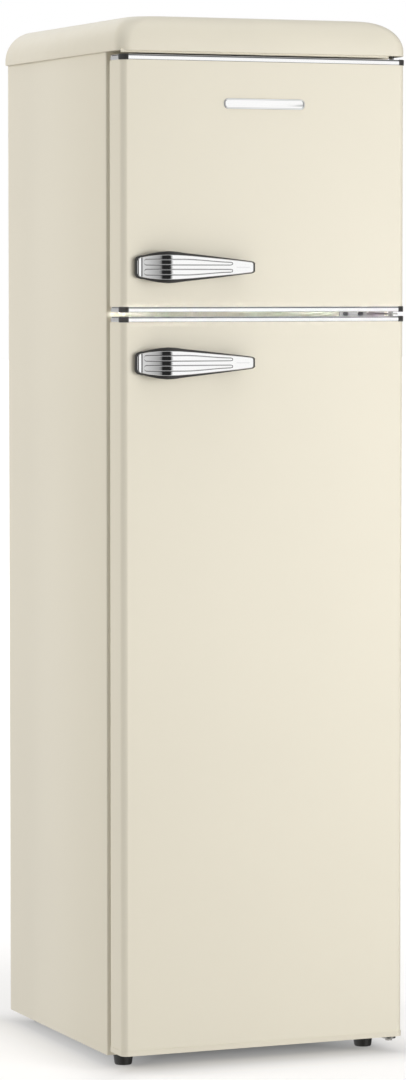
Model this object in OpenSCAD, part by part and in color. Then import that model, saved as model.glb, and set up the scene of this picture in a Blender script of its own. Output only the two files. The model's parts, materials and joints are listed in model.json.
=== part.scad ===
// Tall two-door top-freezer refrigerator in a rounded retro style.
// Origin: on the floor, in the middle of the whole object. +X right, -Y front, +Z up. Millimetres.

/* [Cabinet] */
// Width of the cabinet across its steel sides
cab_w = 520; // [515:1:530]
// Depth of the cabinet from its front flange to its back panel
cab_d = 483; // [478:1:490]
// Height of the cabinet's underside above the floor
base_z = 20; // [19:0.5:21]
// Height of the steel top, hidden by the hood
cab_top = 1714; // [1712:1:1716]
// Thickness of the painted sheet steel
steel_t = 1; // [0.8:0.1:1.2]
// Thickness of the thermoformed inner liners
liner_t = 2; // [1.5:0.1:2.5]
// Width of the steel flange that the door magnets close on
flange_w = 28; // [26:1:30]

/* [Compartments] */
// Clear width of the refrigerator compartment
fridge_w = 436; // [430:1:440]
// Clear depth of the refrigerator compartment
fridge_d = 440; // [435:1:442]
// Floor of the refrigerator compartment
fridge_lo = 70; // [68:1:72]
// Ceiling of the refrigerator compartment
fridge_hi = 1241; // [1238:1:1242]
// Clear width of the freezer compartment
freezer_w = 410; // [400:1:414]
// Clear depth of the freezer compartment
freezer_d = 428; // [420:1:432]
// Floor of the freezer compartment
freezer_lo = 1306; // [1305:1:1308]
// Ceiling of the freezer compartment
freezer_hi = 1669; // [1665:1:1671]
// Depth of the machine bay for the compressor
bay_d = 155; // [153:1:160]
// Height of the roof of the machine bay
bay_top = 235; // [230:1:236]
// Depth of insulation between the machine bay and the liner
bay_wall = 36; // [34:1:38]

/* [Doors] */
// Width of both doors
door_w = 518; // [516:1:519]
// Distance from the cabinet's front flange to the face of the doors
door_out = 70; // [68:1:72]
// Space between the cabinet and the back edge of the doors, filled by the gasket
door_gap = 15; // [14:0.5:16]
// Radius of the doors' upright front corners
door_r = 11; // [9:1:14]
// Bottom of the refrigerator door
door_lo = 29; // [28:0.5:30]
// Top of the refrigerator door
split_lo = 1270; // [1269:0.5:1270]
// Bottom of the freezer door
split_hi = 1277.5; // [1277.5:0.5:1278]
// Top of the freezer door
door_hi = 1705; // [1704:0.5:1706]
// Height of the bright end strips and of the door end caps
strip_h = 9; // [8:0.5:10]
// How far the strips stand proud of the door skin
strip_out = 0.8; // [0.5:0.1:1]
// Distance of the gasket's outer edge inside the door's edge
seal_in = 11; // [11:0.5:12]
// Width of the gasket's magnet head
seal_w = 15; // [14:0.5:15]
// Distance from the cabinet's front that the liner dykes reach inward
dyke_in = 20; // [18:1:20]
// Width of the liner dykes
dyke_w = 24; // [22:1:26]

/* [Hinges] */
// Radius of the hinge pins
pin_r = 4; // [3.5:0.1:4.5]
// Distance from the hinge axis to the cabinet's right side
pin_in = 14; // [13:0.5:15]
// Distance from the cabinet's front to the hinge axis
pin_out = 42; // [41.5:0.5:43]
// Depth that each pin reaches into a door
pin_len = 14; // [12:1:15]
// Radial clearance of everything that turns or slides in a hole
run = 0.05; // [0.03:0.01:0.08]
// Thickness of the hinge plates
hinge_t = 3; // [2.5:0.5:3]

/* [Handles] */
// Length of each handle, seen from the front
handle_len = 206; // [200:1:215]
// Height of a handle at its bulge
handle_h = 53; // [48:1:56]
// Height of a handle at its hinge-side end
handle_tip = 20; // [16:1:24]
// How far a handle stands out from the door
handle_out = 38; // [37:1:42]
// Distance from the cabinet's left side to the end of a handle
handle_in = 22; // [18:1:28]
// Height of the freezer handle's middle
handle_up = 1352.5; // [1345:0.5:1360]
// Height of the refrigerator handle's middle
handle_down = 1193; // [1185:0.5:1200]

/* [Hood] */
// Overhang of the hood past the cabinet's sides
hood_over = 5; // [4:0.5:6]
// Height of the hood's lower edge
hood_lo = 1711; // [1710:0.5:1711.5]
// Height of the hood's top
hood_hi = 1771; // [1768:1:1775]
// Reach of the hood in front of the cabinet
hood_out = 68; // [66:1:70]
// Thickness of the hood's wall
hood_t = 3; // [2.5:0.5:3.5]
// Radius of the roll at each end of the hood
hood_end_r = 54; // [45:1:56]
// Radius of the roll along the hood's front
hood_front_r = 44; // [36:1:50]
// Radius of the hood's upright corners
hood_corner_r = 24; // [18:1:28]

/* [Rear and feet] */
// Distance that the rear spacers reach behind the cabinet
rear_out = 38; // [34:1:42]
// Distance from the middle to each front foot
foot_x = 224; // [215:1:226]
// Travel of the screw feet
foot_travel = 12; // [8:1:14]
// Radius of the rear rollers
roller_r = 12; // [11:0.5:12.5]

/* [Hidden] */
$fn = 64;
eps = 1;                    // overshoot of a cut past the face that it opens

cream = [0.90, 0.87, 0.78];
white = [0.94, 0.94, 0.92];
foam_yellow = [0.86, 0.80, 0.62];
chrome = [0.80, 0.81, 0.83];
zinc = [0.66, 0.67, 0.68];
black = [0.10, 0.10, 0.10];
rubber_grey = [0.62, 0.60, 0.55];
clear = [0.80, 0.88, 0.90];
copper = [0.72, 0.45, 0.30];

// depth: the whole object, handles to rear spacers, is centred on the origin
front_y = -(cab_d + rear_out - door_out - handle_out) / 2;
half_w = cab_w / 2;
in_w = half_w - steel_t;            // inside face of a steel side
flange_x = half_w - flange_w;       // inner edge of the side flanges
bay_y = cab_d - bay_d;              // front wall of the machine bay
step_y = bay_y - bay_wall;          // liner step over the machine bay
step_z = bay_top + bay_wall;
mullion_lo = fridge_hi + liner_t;
mullion_hi = freezer_lo - liner_t;
flange_top = freezer_hi + 12;       // lower edge of the steel top flange
flange_bottom = fridge_lo - 13;     // upper edge of the steel bottom flange

// doors
door_back = -door_gap;              // back edge of the door skins
door_half = door_w / 2;
seal_x = door_half - seal_in;       // gasket's outer edge
pin_x = half_w - pin_in;
pin_y = -pin_out;
bore_len = pin_len + 2;
boss_len = bore_len + 2;
bore_r = pin_r + run;
bore_wall = 7;
plate_y = door_back - liner_t;      // back of the door liners' flat plate
fridge_pan_x = fridge_w / 2 - 14;   // outside of the dykes on the refrigerator door
fridge_pan = [fridge_lo + 13, fridge_hi - 13];
freezer_pan_x = freezer_w / 2 - 14;
freezer_pan = [freezer_lo + 13, freezer_hi - 13];
fridge_skin = [door_lo + strip_h, split_lo - strip_h];
freezer_skin = [split_hi + strip_h, door_hi - strip_h];

// door bins, from the recess in the door liner to their front walls
bin_reach = 88;
bin_back = door_back + 0.5;
fridge_bin_x = fridge_pan_x - dyke_w - 0.5;
freezer_bin_x = freezer_pan_x - dyke_w - 0.5;
bin_t = 2.5;
bottle_bin_z = 290;
bin_h = 86;
bins_z = [bottle_bin_z, 600, 830];
dairy_z = [1050, 1190];
flap_pin = [bin_reach - 5, dairy_z[1] - 10];
flap_pin_r = 2.5;
freezer_bins_z = [freezer_pan[0] + dyke_w + 9, 1500];
freezer_bin_reach = 66;
freezer_bin_h = 56;

badge_at = [[-76, 1617], [72, 1635]];

// inside fittings
shelf_y = [98, 424];                // front of the front trim, back of the glass
shelf_t = 4;
shelves_z = [510, 750, 985];
trim_d = 16;
ledge = 8;
rack_z = 1480;
crisper_z = [fridge_lo + 0.4, 258];
crisper_y = [100, step_y - 17];     // clear of the liner's rounded corner behind it
crisper_x = fridge_w / 2 - 6;
crisper_t = 2.5;

// ceiling housing of the refrigerator: lamp and thermostat
lamp_box = [[-110, 225, fridge_hi - 44], [110, 405, fridge_hi]];
lamp_pocket = [[-98, 228, fridge_hi - 43], [-8, 395, fridge_hi - 5]];
knob_at = [56, 225, fridge_hi - 22];
knob_r = 16;
knob_t = 12;
switch_at = [-150, dyke_in, fridge_hi - 21];
switch_r = 4;
switch_len = 30;

// machine bay
comp_at = [30, 405];
comp_r = 66;
comp_plate = [base_z + 17, base_z + 21];
plate_t = 3;
roller_at = [215, 455];
roller_w = 18;
axle_r = 3;
foot_y = 18;
foot_r = 17;
stem_r = 5;
socket_r = 8;
socket_top = base_z + 32;
gland_at = [170, base_z + 30];

// condenser: a serpentine of horizontal tubes with upright wires behind the cabinet
cond_y = cab_d + 22;
cond_x = 190;
cond_z = 320;
cond_runs = 23;
cond_step = 50;
cond_bend = cond_step / 2;
return_bend = 15;
cond_r = 2.5;
wire_r = 0.9;
wires = 18;
cond_top = cond_z + (cond_runs - 1) * cond_step;
return_x = cond_x + 32;

// screws: [x, z] on upright plates, [x, y] on the flat plate of the top hinge
screw_r = 2.2;
screw_head = 4.5;
mid_z = (split_lo + split_hi) / 2;
mid_screws = [[179, mid_z], [207, mid_z]];
low_screws = [[180, base_z + 10], [204, base_z + 10]];
top_screws = [[200, 16], [240, 16], [200, 36], [240, 36]];

// ---------- helpers ----------

// Everything below is drawn with y = 0 on the cabinet's front flange, then moved into place
module place() {
    translate([0, front_y, 0]) children();
}

// Box between two corners
module block(a, b) {
    translate(a) cube(b - a);
}

// Box that mirrors itself about the middle in x
module wide_block(x, a, b) {
    block([-x, a[0], a[1]], [x, b[0], b[1]]);
}

// Extrudes an outline of [x, y] upward between two heights
module upright(z0, z1) {
    translate([0, 0, z0]) linear_extrude(z1 - z0) children();
}

// Extrudes an outline of [x, z] between two depths
module facing(y0, y1) {
    translate([0, y1, 0]) rotate([90, 0, 0]) linear_extrude(y1 - y0) children();
}

// Extrudes an outline of [y, z] across a width centred on the middle
module across(w) {
    translate([-w / 2, 0, 0]) rotate([90, 0, 90]) linear_extrude(w) children();
}

module rod_x(p, r, len) {
    translate(p) rotate([0, 90, 0]) cylinder(r = r, h = len);
}

module rod_y(p, r, len) {
    translate(p) rotate([-90, 0, 0]) cylinder(r = r, h = len);
}

module rod_z(p, r, len) {
    translate(p) cylinder(r = r, h = len);
}

// Rectangle between two corners with round corners of true arcs
module round_rect(a, b, r) {
    translate([a[0] + r, a[1]]) square([b[0] - a[0] - 2 * r, b[1] - a[1]]);
    translate([a[0], a[1] + r]) square([b[0] - a[0], b[1] - a[1] - 2 * r]);
    for (x = [a[0] + r, b[0] - r])
        for (y = [a[1] + r, b[1] - r])
            translate([x, y]) circle(r);
}

// Points of an outline with each corner cut by a curve that starts r before it
function toward(p, q, r) = p + (q - p) / norm(q - p) * r;
function bend(a, c, b, k) = [for (i = [0 : k])
    let (t = i / k) (1 - t) * (1 - t) * a + 2 * t * (1 - t) * c + t * t * b];
function soft(pts, r, k = 5) = let (n = len(pts)) [for (i = [0 : n - 1])
    let (before = pts[(i + n - 1) % n], after = pts[(i + 1) % n])
    each (r[i] == 0 ? [pts[i]]
        : bend(toward(pts[i], before, r[i]), pts[i], toward(pts[i], after, r[i]), k))];

// Open tray: outer corners a and b, wall t, floor f, upright corner radius r
module tray(a, b, t, f, r) {
    difference() {
        upright(a[2], b[2]) round_rect([a[0], a[1]], [b[0], b[1]], r);
        upright(a[2] + f, b[2] + eps) round_rect([a[0] + t, a[1] + t], [b[0] - t, b[1] - t], r - t);
    }
}

// ---------- cabinet ----------

function fridge_profile(g) = soft([[0, fridge_lo - g], [step_y + g, fridge_lo - g],
    [step_y + g, step_z - g], [fridge_d + g, step_z - g], [fridge_d + g, fridge_hi + g],
    [0, fridge_hi + g]], [0, 16, 16, 16, 22, 0]);

function freezer_profile(g) = soft([[0, freezer_lo - g], [freezer_d + g, freezer_lo - g],
    [freezer_d + g, freezer_hi + g], [0, freezer_hi + g]], [0, 20, 20, 0]);

module fridge_envelope() {
    across(fridge_w + 2 * liner_t) polygon(fridge_profile(liner_t));
    wide_block(flange_x, [0, flange_bottom], [liner_t, mullion_lo]);
}

module freezer_envelope() {
    across(freezer_w + 2 * liner_t) polygon(freezer_profile(liner_t));
    wide_block(flange_x, [0, mullion_hi], [liner_t, flange_top]);
}

module cabinet_shell() {
    color(cream) place() difference() {
        wide_block(half_w, [0, base_z], [cab_d, cab_top]);
        wide_block(in_w, [steel_t, base_z - eps], [cab_d + eps, cab_top - steel_t]);
        wide_block(flange_x, [-eps, base_z - eps], [steel_t + eps, flange_top]);
        for (s = top_screws)
            rod_z([s[0], s[1], cab_top - 2 * steel_t], screw_r + 0.1, 4);
    }
}

module back_panel() {
    color(zinc) place() {
        wide_block(in_w, [cab_d - steel_t, bay_top], [cab_d, cab_top - steel_t]);
    }
}

module base_pan() {
    color(zinc) place() difference() {
        union() {
            wide_block(in_w, [steel_t, base_z], [bay_y, base_z + steel_t]);
            wide_block(in_w, [bay_y - steel_t, base_z], [bay_y, bay_top]);
            wide_block(in_w, [bay_y - steel_t, bay_top - steel_t], [cab_d - steel_t, bay_top]);
            wide_block(flange_x, [0, base_z], [steel_t, flange_bottom]);
            wide_block(in_w, [bay_y, base_z], [cab_d - 13, base_z + plate_t]);
            for (s = [-1, 1]) {
                rod_z([s * foot_x, foot_y, base_z], socket_r, socket_top - base_z);
                for (x = [s * roller_at[0] - roller_w / 2 - 3, s * roller_at[0] + roller_w / 2 + 0.5])
                    block([x, roller_at[1] - 9, 4], [x + 2.5, roller_at[1] + 9, base_z]);
                rod_x([s * roller_at[0] - roller_w / 2 - 3, roller_at[1], roller_r], axle_r, roller_w + 6);
            }
            block([gland_at[0] - 20, cab_d - 16, base_z + plate_t],
                [gland_at[0] + 20, cab_d - 13, gland_at[1] + 20]);
        }
        for (s = [-1, 1]) {
            rod_z([s * foot_x, foot_y, base_z - eps], stem_r + run, 30);
            block([s * roller_at[0] - roller_w / 2 - 0.5, roller_at[1] - 13.5, base_z - eps],
                [s * roller_at[0] + roller_w / 2 + 0.5, cab_d - 12, base_z + plate_t + eps]);
        }
        rod_y([gland_at[0], cab_d - 17, gland_at[1]], 8, 6);
        for (s = low_screws)
            rod_y([s[0], -eps, s[1]], screw_r + 0.1, 4);
    }
}

module insulation_foam() {
    color(foam_yellow) place() difference() {
        wide_block(in_w, [steel_t, base_z + steel_t], [cab_d - steel_t, cab_top - steel_t]);
        fridge_envelope();
        freezer_envelope();
        wide_block(half_w, [bay_y - steel_t, 0], [cab_d, bay_top]);
        for (s = [-1, 1])
            rod_z([s * foot_x, foot_y, base_z], socket_r, socket_top - base_z);
        wide_block(160, [fridge_d + liner_t - eps, 700], [fridge_d + liner_t + 12, 1100]);
        wide_block(160, [freezer_d + liner_t - eps, 1350], [freezer_d + liner_t + 12, 1620]);
    }
}

module freezer_liner() {
    color(white) place() {
        difference() {
            freezer_envelope();
            across(freezer_w) polygon([for (p = freezer_profile(0)) p[0] == 0 ? [-eps, p[1]] : p]);
        }
        for (s = [-1, 1])
            block([s * freezer_w / 2 - (s > 0 ? ledge : 0), 84, rack_z - 12],
                [s * freezer_w / 2 + (s > 0 ? 0 : ledge), 410, rack_z - 6]);
    }
}

module fridge_liner() {
    color(white) place() {
        difference() {
            fridge_envelope();
            across(fridge_w) polygon([for (p = fridge_profile(0)) p[0] == 0 ? [-eps, p[1]] : p]);
        }
        for (s = [-1, 1])
            for (z = concat(shelves_z, step_z))
                block([s * fridge_w / 2 - (s > 0 ? ledge : 0), shelf_y[0] + 4, z - 9],
                    [s * fridge_w / 2 + (s > 0 ? 0 : ledge),
                        z == step_z ? step_y - 20 : shelf_y[1] - 4, z - 3]);
    }
}

module mullion_rail() {
    color(cream) place() difference() {
        wide_block(flange_x, [0, mullion_lo], [steel_t, mullion_hi]);
        for (s = mid_screws)
            rod_y([s[0], -eps, s[1]], screw_r + 0.1, 4);
    }
}

// Solid form of the hood, shrunk on every side by g
module hood_form(g) {
    x = half_w + hood_over - g;
    y0 = -hood_out + g;
    y1 = cab_d + 4 - g;
    low = hood_lo - (g > 0 ? eps : 0);
    intersection() {
        upright(low, hood_hi - g) {
            round_rect([-x, y0], [x, y0 + 150], hood_corner_r - g);
            translate([-x, y0 + 75]) square([2 * x, y1 - y0 - 75]);
        }
        facing(y0, y1) round_rect([-x, low - 150], [x, hood_hi - g], hood_end_r - g);
        across(2 * x) {
            round_rect([y0, low - 150], [y0 + 200, hood_hi - g], hood_front_r - g);
            translate([y0 + 100, low]) square([y1 - y0 - 100, hood_hi - g - low]);
        }
    }
}

module top_hood() {
    color(cream) place() difference() {
        union() {
            difference() {
                hood_form(0);
                hood_form(hood_t);
            }
            intersection() {
                hood_form(1);
                union() {
                    wide_block(half_w + hood_over, [-hood_out, hood_lo], [-0.5, hood_lo + 2.5]);
                    for (x = [-130, 0, 130])
                        block([x - 1.5, 2, cab_top], [x + 1.5, cab_d - 2, hood_hi]);
                }
            }
        }
        rod_z([pin_x, pin_y, hood_lo - eps], pin_r + 2.5, 5);
    }
}

// ---------- hinges ----------

module upright_leg(x0, z0, z1, screws) {
    difference() {
        facing(-2.5, 0) round_rect([x0, z0], [half_w - 8, z1], 4);
        for (s = screws)
            rod_y([s[0], -4, s[1]], 2.5, 5);
    }
}

module hinge_arm(z) {
    upright(z, z + hinge_t) {
        translate([pin_x, pin_y]) circle(12);
        translate([pin_x - 12, pin_y]) square([24, pin_out - 0.5]);
    }
}

module top_hinge() {
    color(zinc) place() {
        difference() {
            union() {
                hinge_arm(cab_top);
                upright(cab_top, cab_top + hinge_t) round_rect([188, -eps], [half_w - 4, 48], 6);
            }
            for (s = top_screws)
                rod_z([s[0], s[1], cab_top - eps], 2.5, 6);
        }
        rod_z([pin_x, pin_y, door_hi - pin_len], pin_r, cab_top - door_hi + pin_len);
    }
}

module middle_hinge() {
    color(zinc) place() {
        upright_leg(168, mid_z - 11.5, mid_z + 11.5, mid_screws);
        hinge_arm(mid_z - hinge_t / 2);
        block([pin_x - 12, -3, mid_z - hinge_t / 2], [pin_x + 6, 0, mid_z + hinge_t / 2]);
        rod_z([pin_x, pin_y, split_lo - pin_len], pin_r, pin_len + mid_z - hinge_t / 2 - split_lo);
        rod_z([pin_x, pin_y, mid_z + hinge_t / 2], pin_r, split_hi + pin_len - mid_z - hinge_t / 2);
    }
}

module bottom_hinge() {
    arm_z = base_z + 2;
    color(zinc) place() {
        upright_leg(168, arm_z, base_z + 18, low_screws);
        hinge_arm(arm_z);
        block([pin_x - 12, -3, arm_z], [pin_x + 6, 0, arm_z + hinge_t]);
        rod_z([pin_x, pin_y, arm_z + hinge_t], pin_r, door_lo + pin_len - arm_z - hinge_t);
        translate([pin_x, pin_y, arm_z - 4]) cylinder(r = 6.5, h = 4, $fn = 6);
    }
}

module hinge_screws() {
    color(zinc) place() {
        for (s = concat(mid_screws, low_screws)) {
            rod_y([s[0], -2.5, s[1]], screw_r, 3.5);
            difference() {
                rod_y([s[0], -5, s[1]], screw_head, 2.5);
                translate([s[0] - 3, -6, s[1] - 0.6]) cube([6, 2, 1.2]);
                translate([s[0] - 0.6, -6, s[1] - 3]) cube([1.2, 2, 6]);
            }
        }
        for (s = top_screws) {
            rod_z([s[0], s[1], cab_top - steel_t], screw_r, hinge_t + steel_t);
            rod_z([s[0], s[1], cab_top + hinge_t], screw_head, 2.5);
        }
    }
}

// ---------- inside fittings ----------

// Plate bonded to the back of a liner, with its tube on the far side
module cold_plate(y, z0, z1, runs) {
    step = (z1 - z0 - 60) / (runs - 1);
    wide_block(150, [y, z0], [y + 1.5, z1]);
    for (i = [0 : runs - 1])
        rod_x([-110, y + 5, z0 + 30 + i * step], 3.6, 220);
    for (i = [0 : runs - 2])
        translate([i % 2 == 0 ? 110 : -110, y + 5, z0 + 30 + (i + 0.5) * step])
            rotate([90, i % 2 == 0 ? 0 : 180, 0])
                rotate([0, 0, -90]) rotate_extrude(angle = 180) translate([step / 2, 0]) circle(3.6);
}

module evaporator_plates() {
    color(zinc) place() {
        cold_plate(freezer_d + liner_t, 1355, 1615, 5);
        cold_plate(fridge_d + liner_t, 705, 1095, 7);
    }
}

module freezer_rack() {
    rack_x = freezer_w / 2 - 1.5;
    y0 = 88;
    y1 = 404;
    color(white) place() {
        for (y = [y0, (y0 + y1) / 2, y1])
            rod_x([-rack_x, y, rack_z - 3], 3, 2 * rack_x);
        for (i = [0 : 14])
            rod_y([-rack_x + 10 + i * (2 * rack_x - 20) / 14, y0 - 2, rack_z - 0.5], 1.6, y1 - y0 + 4);
    }
}

module ice_tray() {
    tray_z = [rack_z + 1.4, rack_z + 33];
    color(white) place() difference() {
        upright(tray_z[0], tray_z[1]) round_rect([-180, 120], [-75, 385], 8);
        for (ix = [0, 1])
            for (iy = [0 : 6])
                upright(tray_z[0] + 4, tray_z[1] + eps)
                    translate([-175 + ix * 49, 126 + iy * 36.6]) square([46, 34]);
    }
}

module glass(z) {
    color(clear) place()
        wide_block(fridge_w / 2 - 2, [shelf_y[0] + 4, z], [shelf_y[1] - 3, z + shelf_t]);
}

module glass_shelf_1() {
    glass(shelves_z[0]);
}

module glass_shelf_2() {
    glass(shelves_z[1]);
}

module glass_shelf_3() {
    glass(shelves_z[2]);
}

module crisper_cover() {
    glass(step_z);
}

// Moulded edge that wraps the glass at its front or back
module glass_trim(y0, y1, z, open_back) {
    x = fridge_w / 2 - 2;
    difference() {
        wide_block(x, [y0, z - 3], [y1, z + shelf_t + 3]);
        wide_block(x + eps, [open_back ? y0 + 4 : y0 - eps, z], [open_back ? y1 + eps : y1 - 3, z + shelf_t]);
    }
}

module shelf_trims() {
    color(white) place()
        for (z = concat(shelves_z, step_z)) {
            glass_trim(shelf_y[0], shelf_y[0] + trim_d, z, true);
            if (z != step_z)
                glass_trim(shelf_y[1] - 12, shelf_y[1], z, false);
        }
}

module lamp_housing() {
    color(white) place() difference() {
        block(lamp_box[0], lamp_box[1]);
        block(lamp_pocket[0] - [0, 4, 2], lamp_pocket[1]);
        rod_y([knob_at[0], knob_at[1] - eps, knob_at[2]], 3 + run, 21);
        for (i = [0 : 5])
            block([20 + i * 12, 300, lamp_box[0][2] - eps], [26 + i * 12, 380, lamp_box[0][2] + 3]);
    }
}

module lamp_bulb() {
    p = [-52, 300, fridge_hi - 24];
    color(clear) place() {
        translate(p) sphere(14);
        rod_y(p + [0, 10, 0], 7, 60);
        rod_y(p + [0, 60, 0], 10, 35);
    }
}

module lamp_cover() {
    lo = lamp_pocket[0];
    hi = lamp_pocket[1];
    color(clear) place() {
        block([lo[0], lo[1] - 3, lamp_box[0][2]], [hi[0], hi[1], lo[2]]);
        block([lo[0], lo[1] - 3, lo[2]], [hi[0], lo[1] - 1.5, hi[2] - 1]);
    }
}

module switch_body() {
    p = switch_at;
    color(white) place() difference() {
        block([p[0] - 14, p[1] + 8, p[2] - 9], [p[0] + 14, p[1] + 48, fridge_hi]);
        rod_y([p[0], p[1], p[2]], switch_r + run, 36);
    }
}

module switch_plunger() {
    color(white) place() rod_y(switch_at + [0, 0.4, 0], switch_r, switch_len);
}

module thermostat_knob() {
    color(white) place() difference() {
        union() {
            rod_y(knob_at - [0, knob_t + 0.4, 0], knob_r, knob_t);
            rod_y(knob_at - [0, 0.5, 0], 3, 18);
            for (i = [0 : 11])
                translate(knob_at) rotate([0, i * 30, 0])
                    rod_y([knob_r - 0.5, -knob_t - 0.4, 0], 1.6, knob_t - 2);
        }
        translate(knob_at) block([-1, -knob_t - 2, 5], [1, -knob_t + 1, knob_r + 3]);
    }
}

module crisper() {
    x = crisper_x;
    z = crisper_z;
    y = crisper_y;
    color(clear) place() {
        tray([-x, y[0], z[0]], [x, y[1], z[1]], crisper_t, 3, 14);
        block([-70, y[0] - 5, z[1] - 26], [70, y[0] + 1, z[1] - 22]);
        block([-70, y[0] - 5, z[1] - 22], [70, y[0] - 2.5, z[1] - 8]);
    }
}

// ---------- feet and rollers ----------

module foot(side) {
    color(black) place() translate([side * foot_x, foot_y, 0]) {
        rotate_extrude() polygon([[0, 0], [foot_r - 3, 0], [foot_r - 2, 2], [foot_r, base_z - 3],
            [foot_r - 1, base_z - 0.5], [0, base_z - 0.5]]);
        cylinder(r = stem_r, h = base_z + 26);
    }
}

module foot_left() {
    foot(-1);
}

module foot_right() {
    foot(1);
}

module roller(side) {
    color(black) place() translate([side * roller_at[0] - roller_w / 2, roller_at[1], roller_r])
        rotate([0, 90, 0]) rotate_extrude() polygon([[axle_r + run, 0], [roller_r - 1, 0],
            [roller_r, 1], [roller_r, roller_w - 1], [roller_r - 1, roller_w], [axle_r + run, roller_w]]);
}

module roller_left() {
    roller(-1);
}

module roller_right() {
    roller(1);
}

// ---------- machine bay and rear ----------

module compressor() {
    z = comp_plate;
    color(black) place() {
        translate([comp_at[0], comp_at[1], z[1]]) rotate_extrude()
            polygon(soft([[0, 0], [comp_r - 12, 0], [comp_r, 16], [comp_r, 58], [comp_r + 3, 58],
                [comp_r + 3, 64], [comp_r, 64], [comp_r, 112], [comp_r - 18, 134], [0, 140]],
                [0, 4, 8, 0, 0, 0, 0, 14, 22, 0]));
        difference() {
            block([comp_at[0] - 80, comp_at[1] - 45, z[0]], [comp_at[0] + 80, comp_at[1] + 45, z[1]]);
            for (x = [-68, 68])
                for (y = [-34, 34])
                    rod_z([comp_at[0] + x, comp_at[1] + y, z[0] - eps], 4.5, 6);
        }
    }
}

module compressor_mounts() {
    color(black) place()
        for (x = [-68, 68])
            for (y = [-34, 34])
                translate([comp_at[0] + x, comp_at[1] + y, base_z + plate_t]) {
                    cylinder(r = 9, h = comp_plate[0] - base_z - plate_t);
                    cylinder(r = 4.3, h = 22);
                    translate([0, 0, comp_plate[1] - base_z - plate_t]) cylinder(r = 7, h = 3);
                }
}

module relay_box() {
    color(black) place() {
        x = comp_at[0] + comp_r + 3.4;
        upright(base_z + 60, base_z + 118) round_rect([x, comp_at[1] - 26], [x + 26, comp_at[1] + 26], 5);
    }
}

// Quarter bend of a tube: centre c, from direction a to direction b, turned about the given axis
module tube_bend(c, turn, r, bend_r) {
    translate(c) rotate(turn) rotate_extrude(angle = 90) translate([bend_r, 0]) circle(r);
}

module refrigerant_pipes() {
    r = 3;
    bend_r = 15;
    out_z = base_z + 90;
    y = comp_at[1];
    x = -cond_x;
    top = comp_plate[1] + 141;
    color(copper) place() {
        // discharge: out of the compressor's side, back, up and into the condenser's lowest tube
        rod_x([x + bend_r, y, out_z], r, comp_at[0] - comp_r - 0.3 - x - bend_r);
        tube_bend([x + bend_r, y + bend_r, out_z], [0, 0, 180], r, bend_r);
        rod_y([x, y + bend_r, out_z], r, cond_y - y - 2 * bend_r);
        tube_bend([x, cond_y - bend_r, out_z + bend_r], [90, 90, 90], r, bend_r);
        rod_z([x, cond_y, out_z + bend_r], r, cond_z - cond_bend - out_z - bend_r);
        tube_bend([x + cond_bend, cond_y, cond_z - cond_bend], [90, -90, 0], r, cond_bend);
        // suction: from the shoulder of the compressor up into the cabinet
        rod_z([comp_at[0], y, top], r, bay_top - steel_t - top);
        // drier at the foot of the return pipe
        translate([return_x, cond_y, 190]) rotate_extrude()
            polygon([[0, 0], [2.5, 0], [3, 6], [9, 16], [9, 84], [3, 94], [2.5, 100], [0, 100]]);
    }
}

module drip_tray() {
    color(black) place()
        tray([-200, bay_y + 18, base_z + plate_t + 0.3], [-75, bay_y + 118, base_z + plate_t + 34], 2, 2, 10);
}

// Spacer that holds the condenser off the cabinet and the cabinet off the wall
module spacer(x, z) {
    back = cab_d + rear_out;
    difference() {
        block([x - 4, cab_d, z - 9], [x + 4, back, z + 9]);
        rod_x([x - 5, cond_y, z], cond_r + 0.1, 10);
        block([x - 5, cond_y + 1, z - 2.2], [x + 5, back - 4, z + 2.2]);
    }
}

module condenser() {
    run_x = cond_x - cond_bend;
    wire_x = run_x - 6;
    color(black) place() {
        for (i = [0 : cond_runs - 1])
            rod_x([-run_x, cond_y, cond_z + i * cond_step], cond_r, 2 * run_x);
        for (i = [0 : cond_runs - 2])
            translate([(i % 2 == 0 ? 1 : -1) * run_x, cond_y, cond_z + (i + 0.5) * cond_step])
                rotate([90, i % 2 == 0 ? 0 : 180, 0])
                    rotate([0, 0, -90]) rotate_extrude(angle = 180) translate([cond_bend, 0]) circle(cond_r);
        for (i = [0 : wires - 1])
            rod_z([-wire_x + i * 2 * wire_x / (wires - 1), cond_y + cond_r + wire_r + 0.05, cond_z - 20],
                wire_r, cond_top - cond_z + 40);
        rod_x([run_x, cond_y, cond_top], 2, return_x - return_bend - run_x);
        tube_bend([return_x - return_bend, cond_y, cond_top - return_bend], [90, 0, 0], 2, return_bend);
        rod_z([return_x, cond_y, 290.3], 2, cond_top - return_bend - 290.3);
        for (x = [-run_x + 30, run_x - 30])
            for (i = [1, cond_runs - 2])
                spacer(x, cond_z + i * cond_step);
    }
}

module cord_gland() {
    color(black) place() translate([gland_at[0], cab_d - 13, gland_at[1]]) difference() {
        union() {
            rod_y([0, 0, 0], 12, 4);
            rod_y([0, -12, 0], 7.9, 12);
        }
        rod_y([0, -13, 0], 3.75, 18);
    }
}

// ---------- doors ----------

// Plan outline of a door, shrunk by g on its face and sides, from its face back to y1
module door_plan(g, y1) {
    x = door_half - g;
    y0 = -door_out + g;
    r = door_r - g;
    translate([-x, y0 + r]) square([2 * x, y1 - y0 - r]);
    translate([-x + r, y0]) square([2 * (x - r), r + eps]);
    for (s = [-1, 1])
        translate([s * (x - r), y0 + r]) circle(r);
}

module door_skin(z) {
    upright(z[0], z[1]) difference() {
        door_plan(0, door_back);
        door_plan(steel_t, door_back + eps);
    }
}

// Ring of raised dykes on a door liner, shrunk by g, between two depths
module dyke_ring(x, z, g, y0, y1) {
    facing(y0, y1) difference() {
        round_rect([-x + g, z[0] + g], [x - g, z[1] - g], 22 - g);
        round_rect([-x + dyke_w - g, z[0] + dyke_w - g], [x - dyke_w + g, z[1] - dyke_w + g], 10 + g);
    }
}

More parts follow.
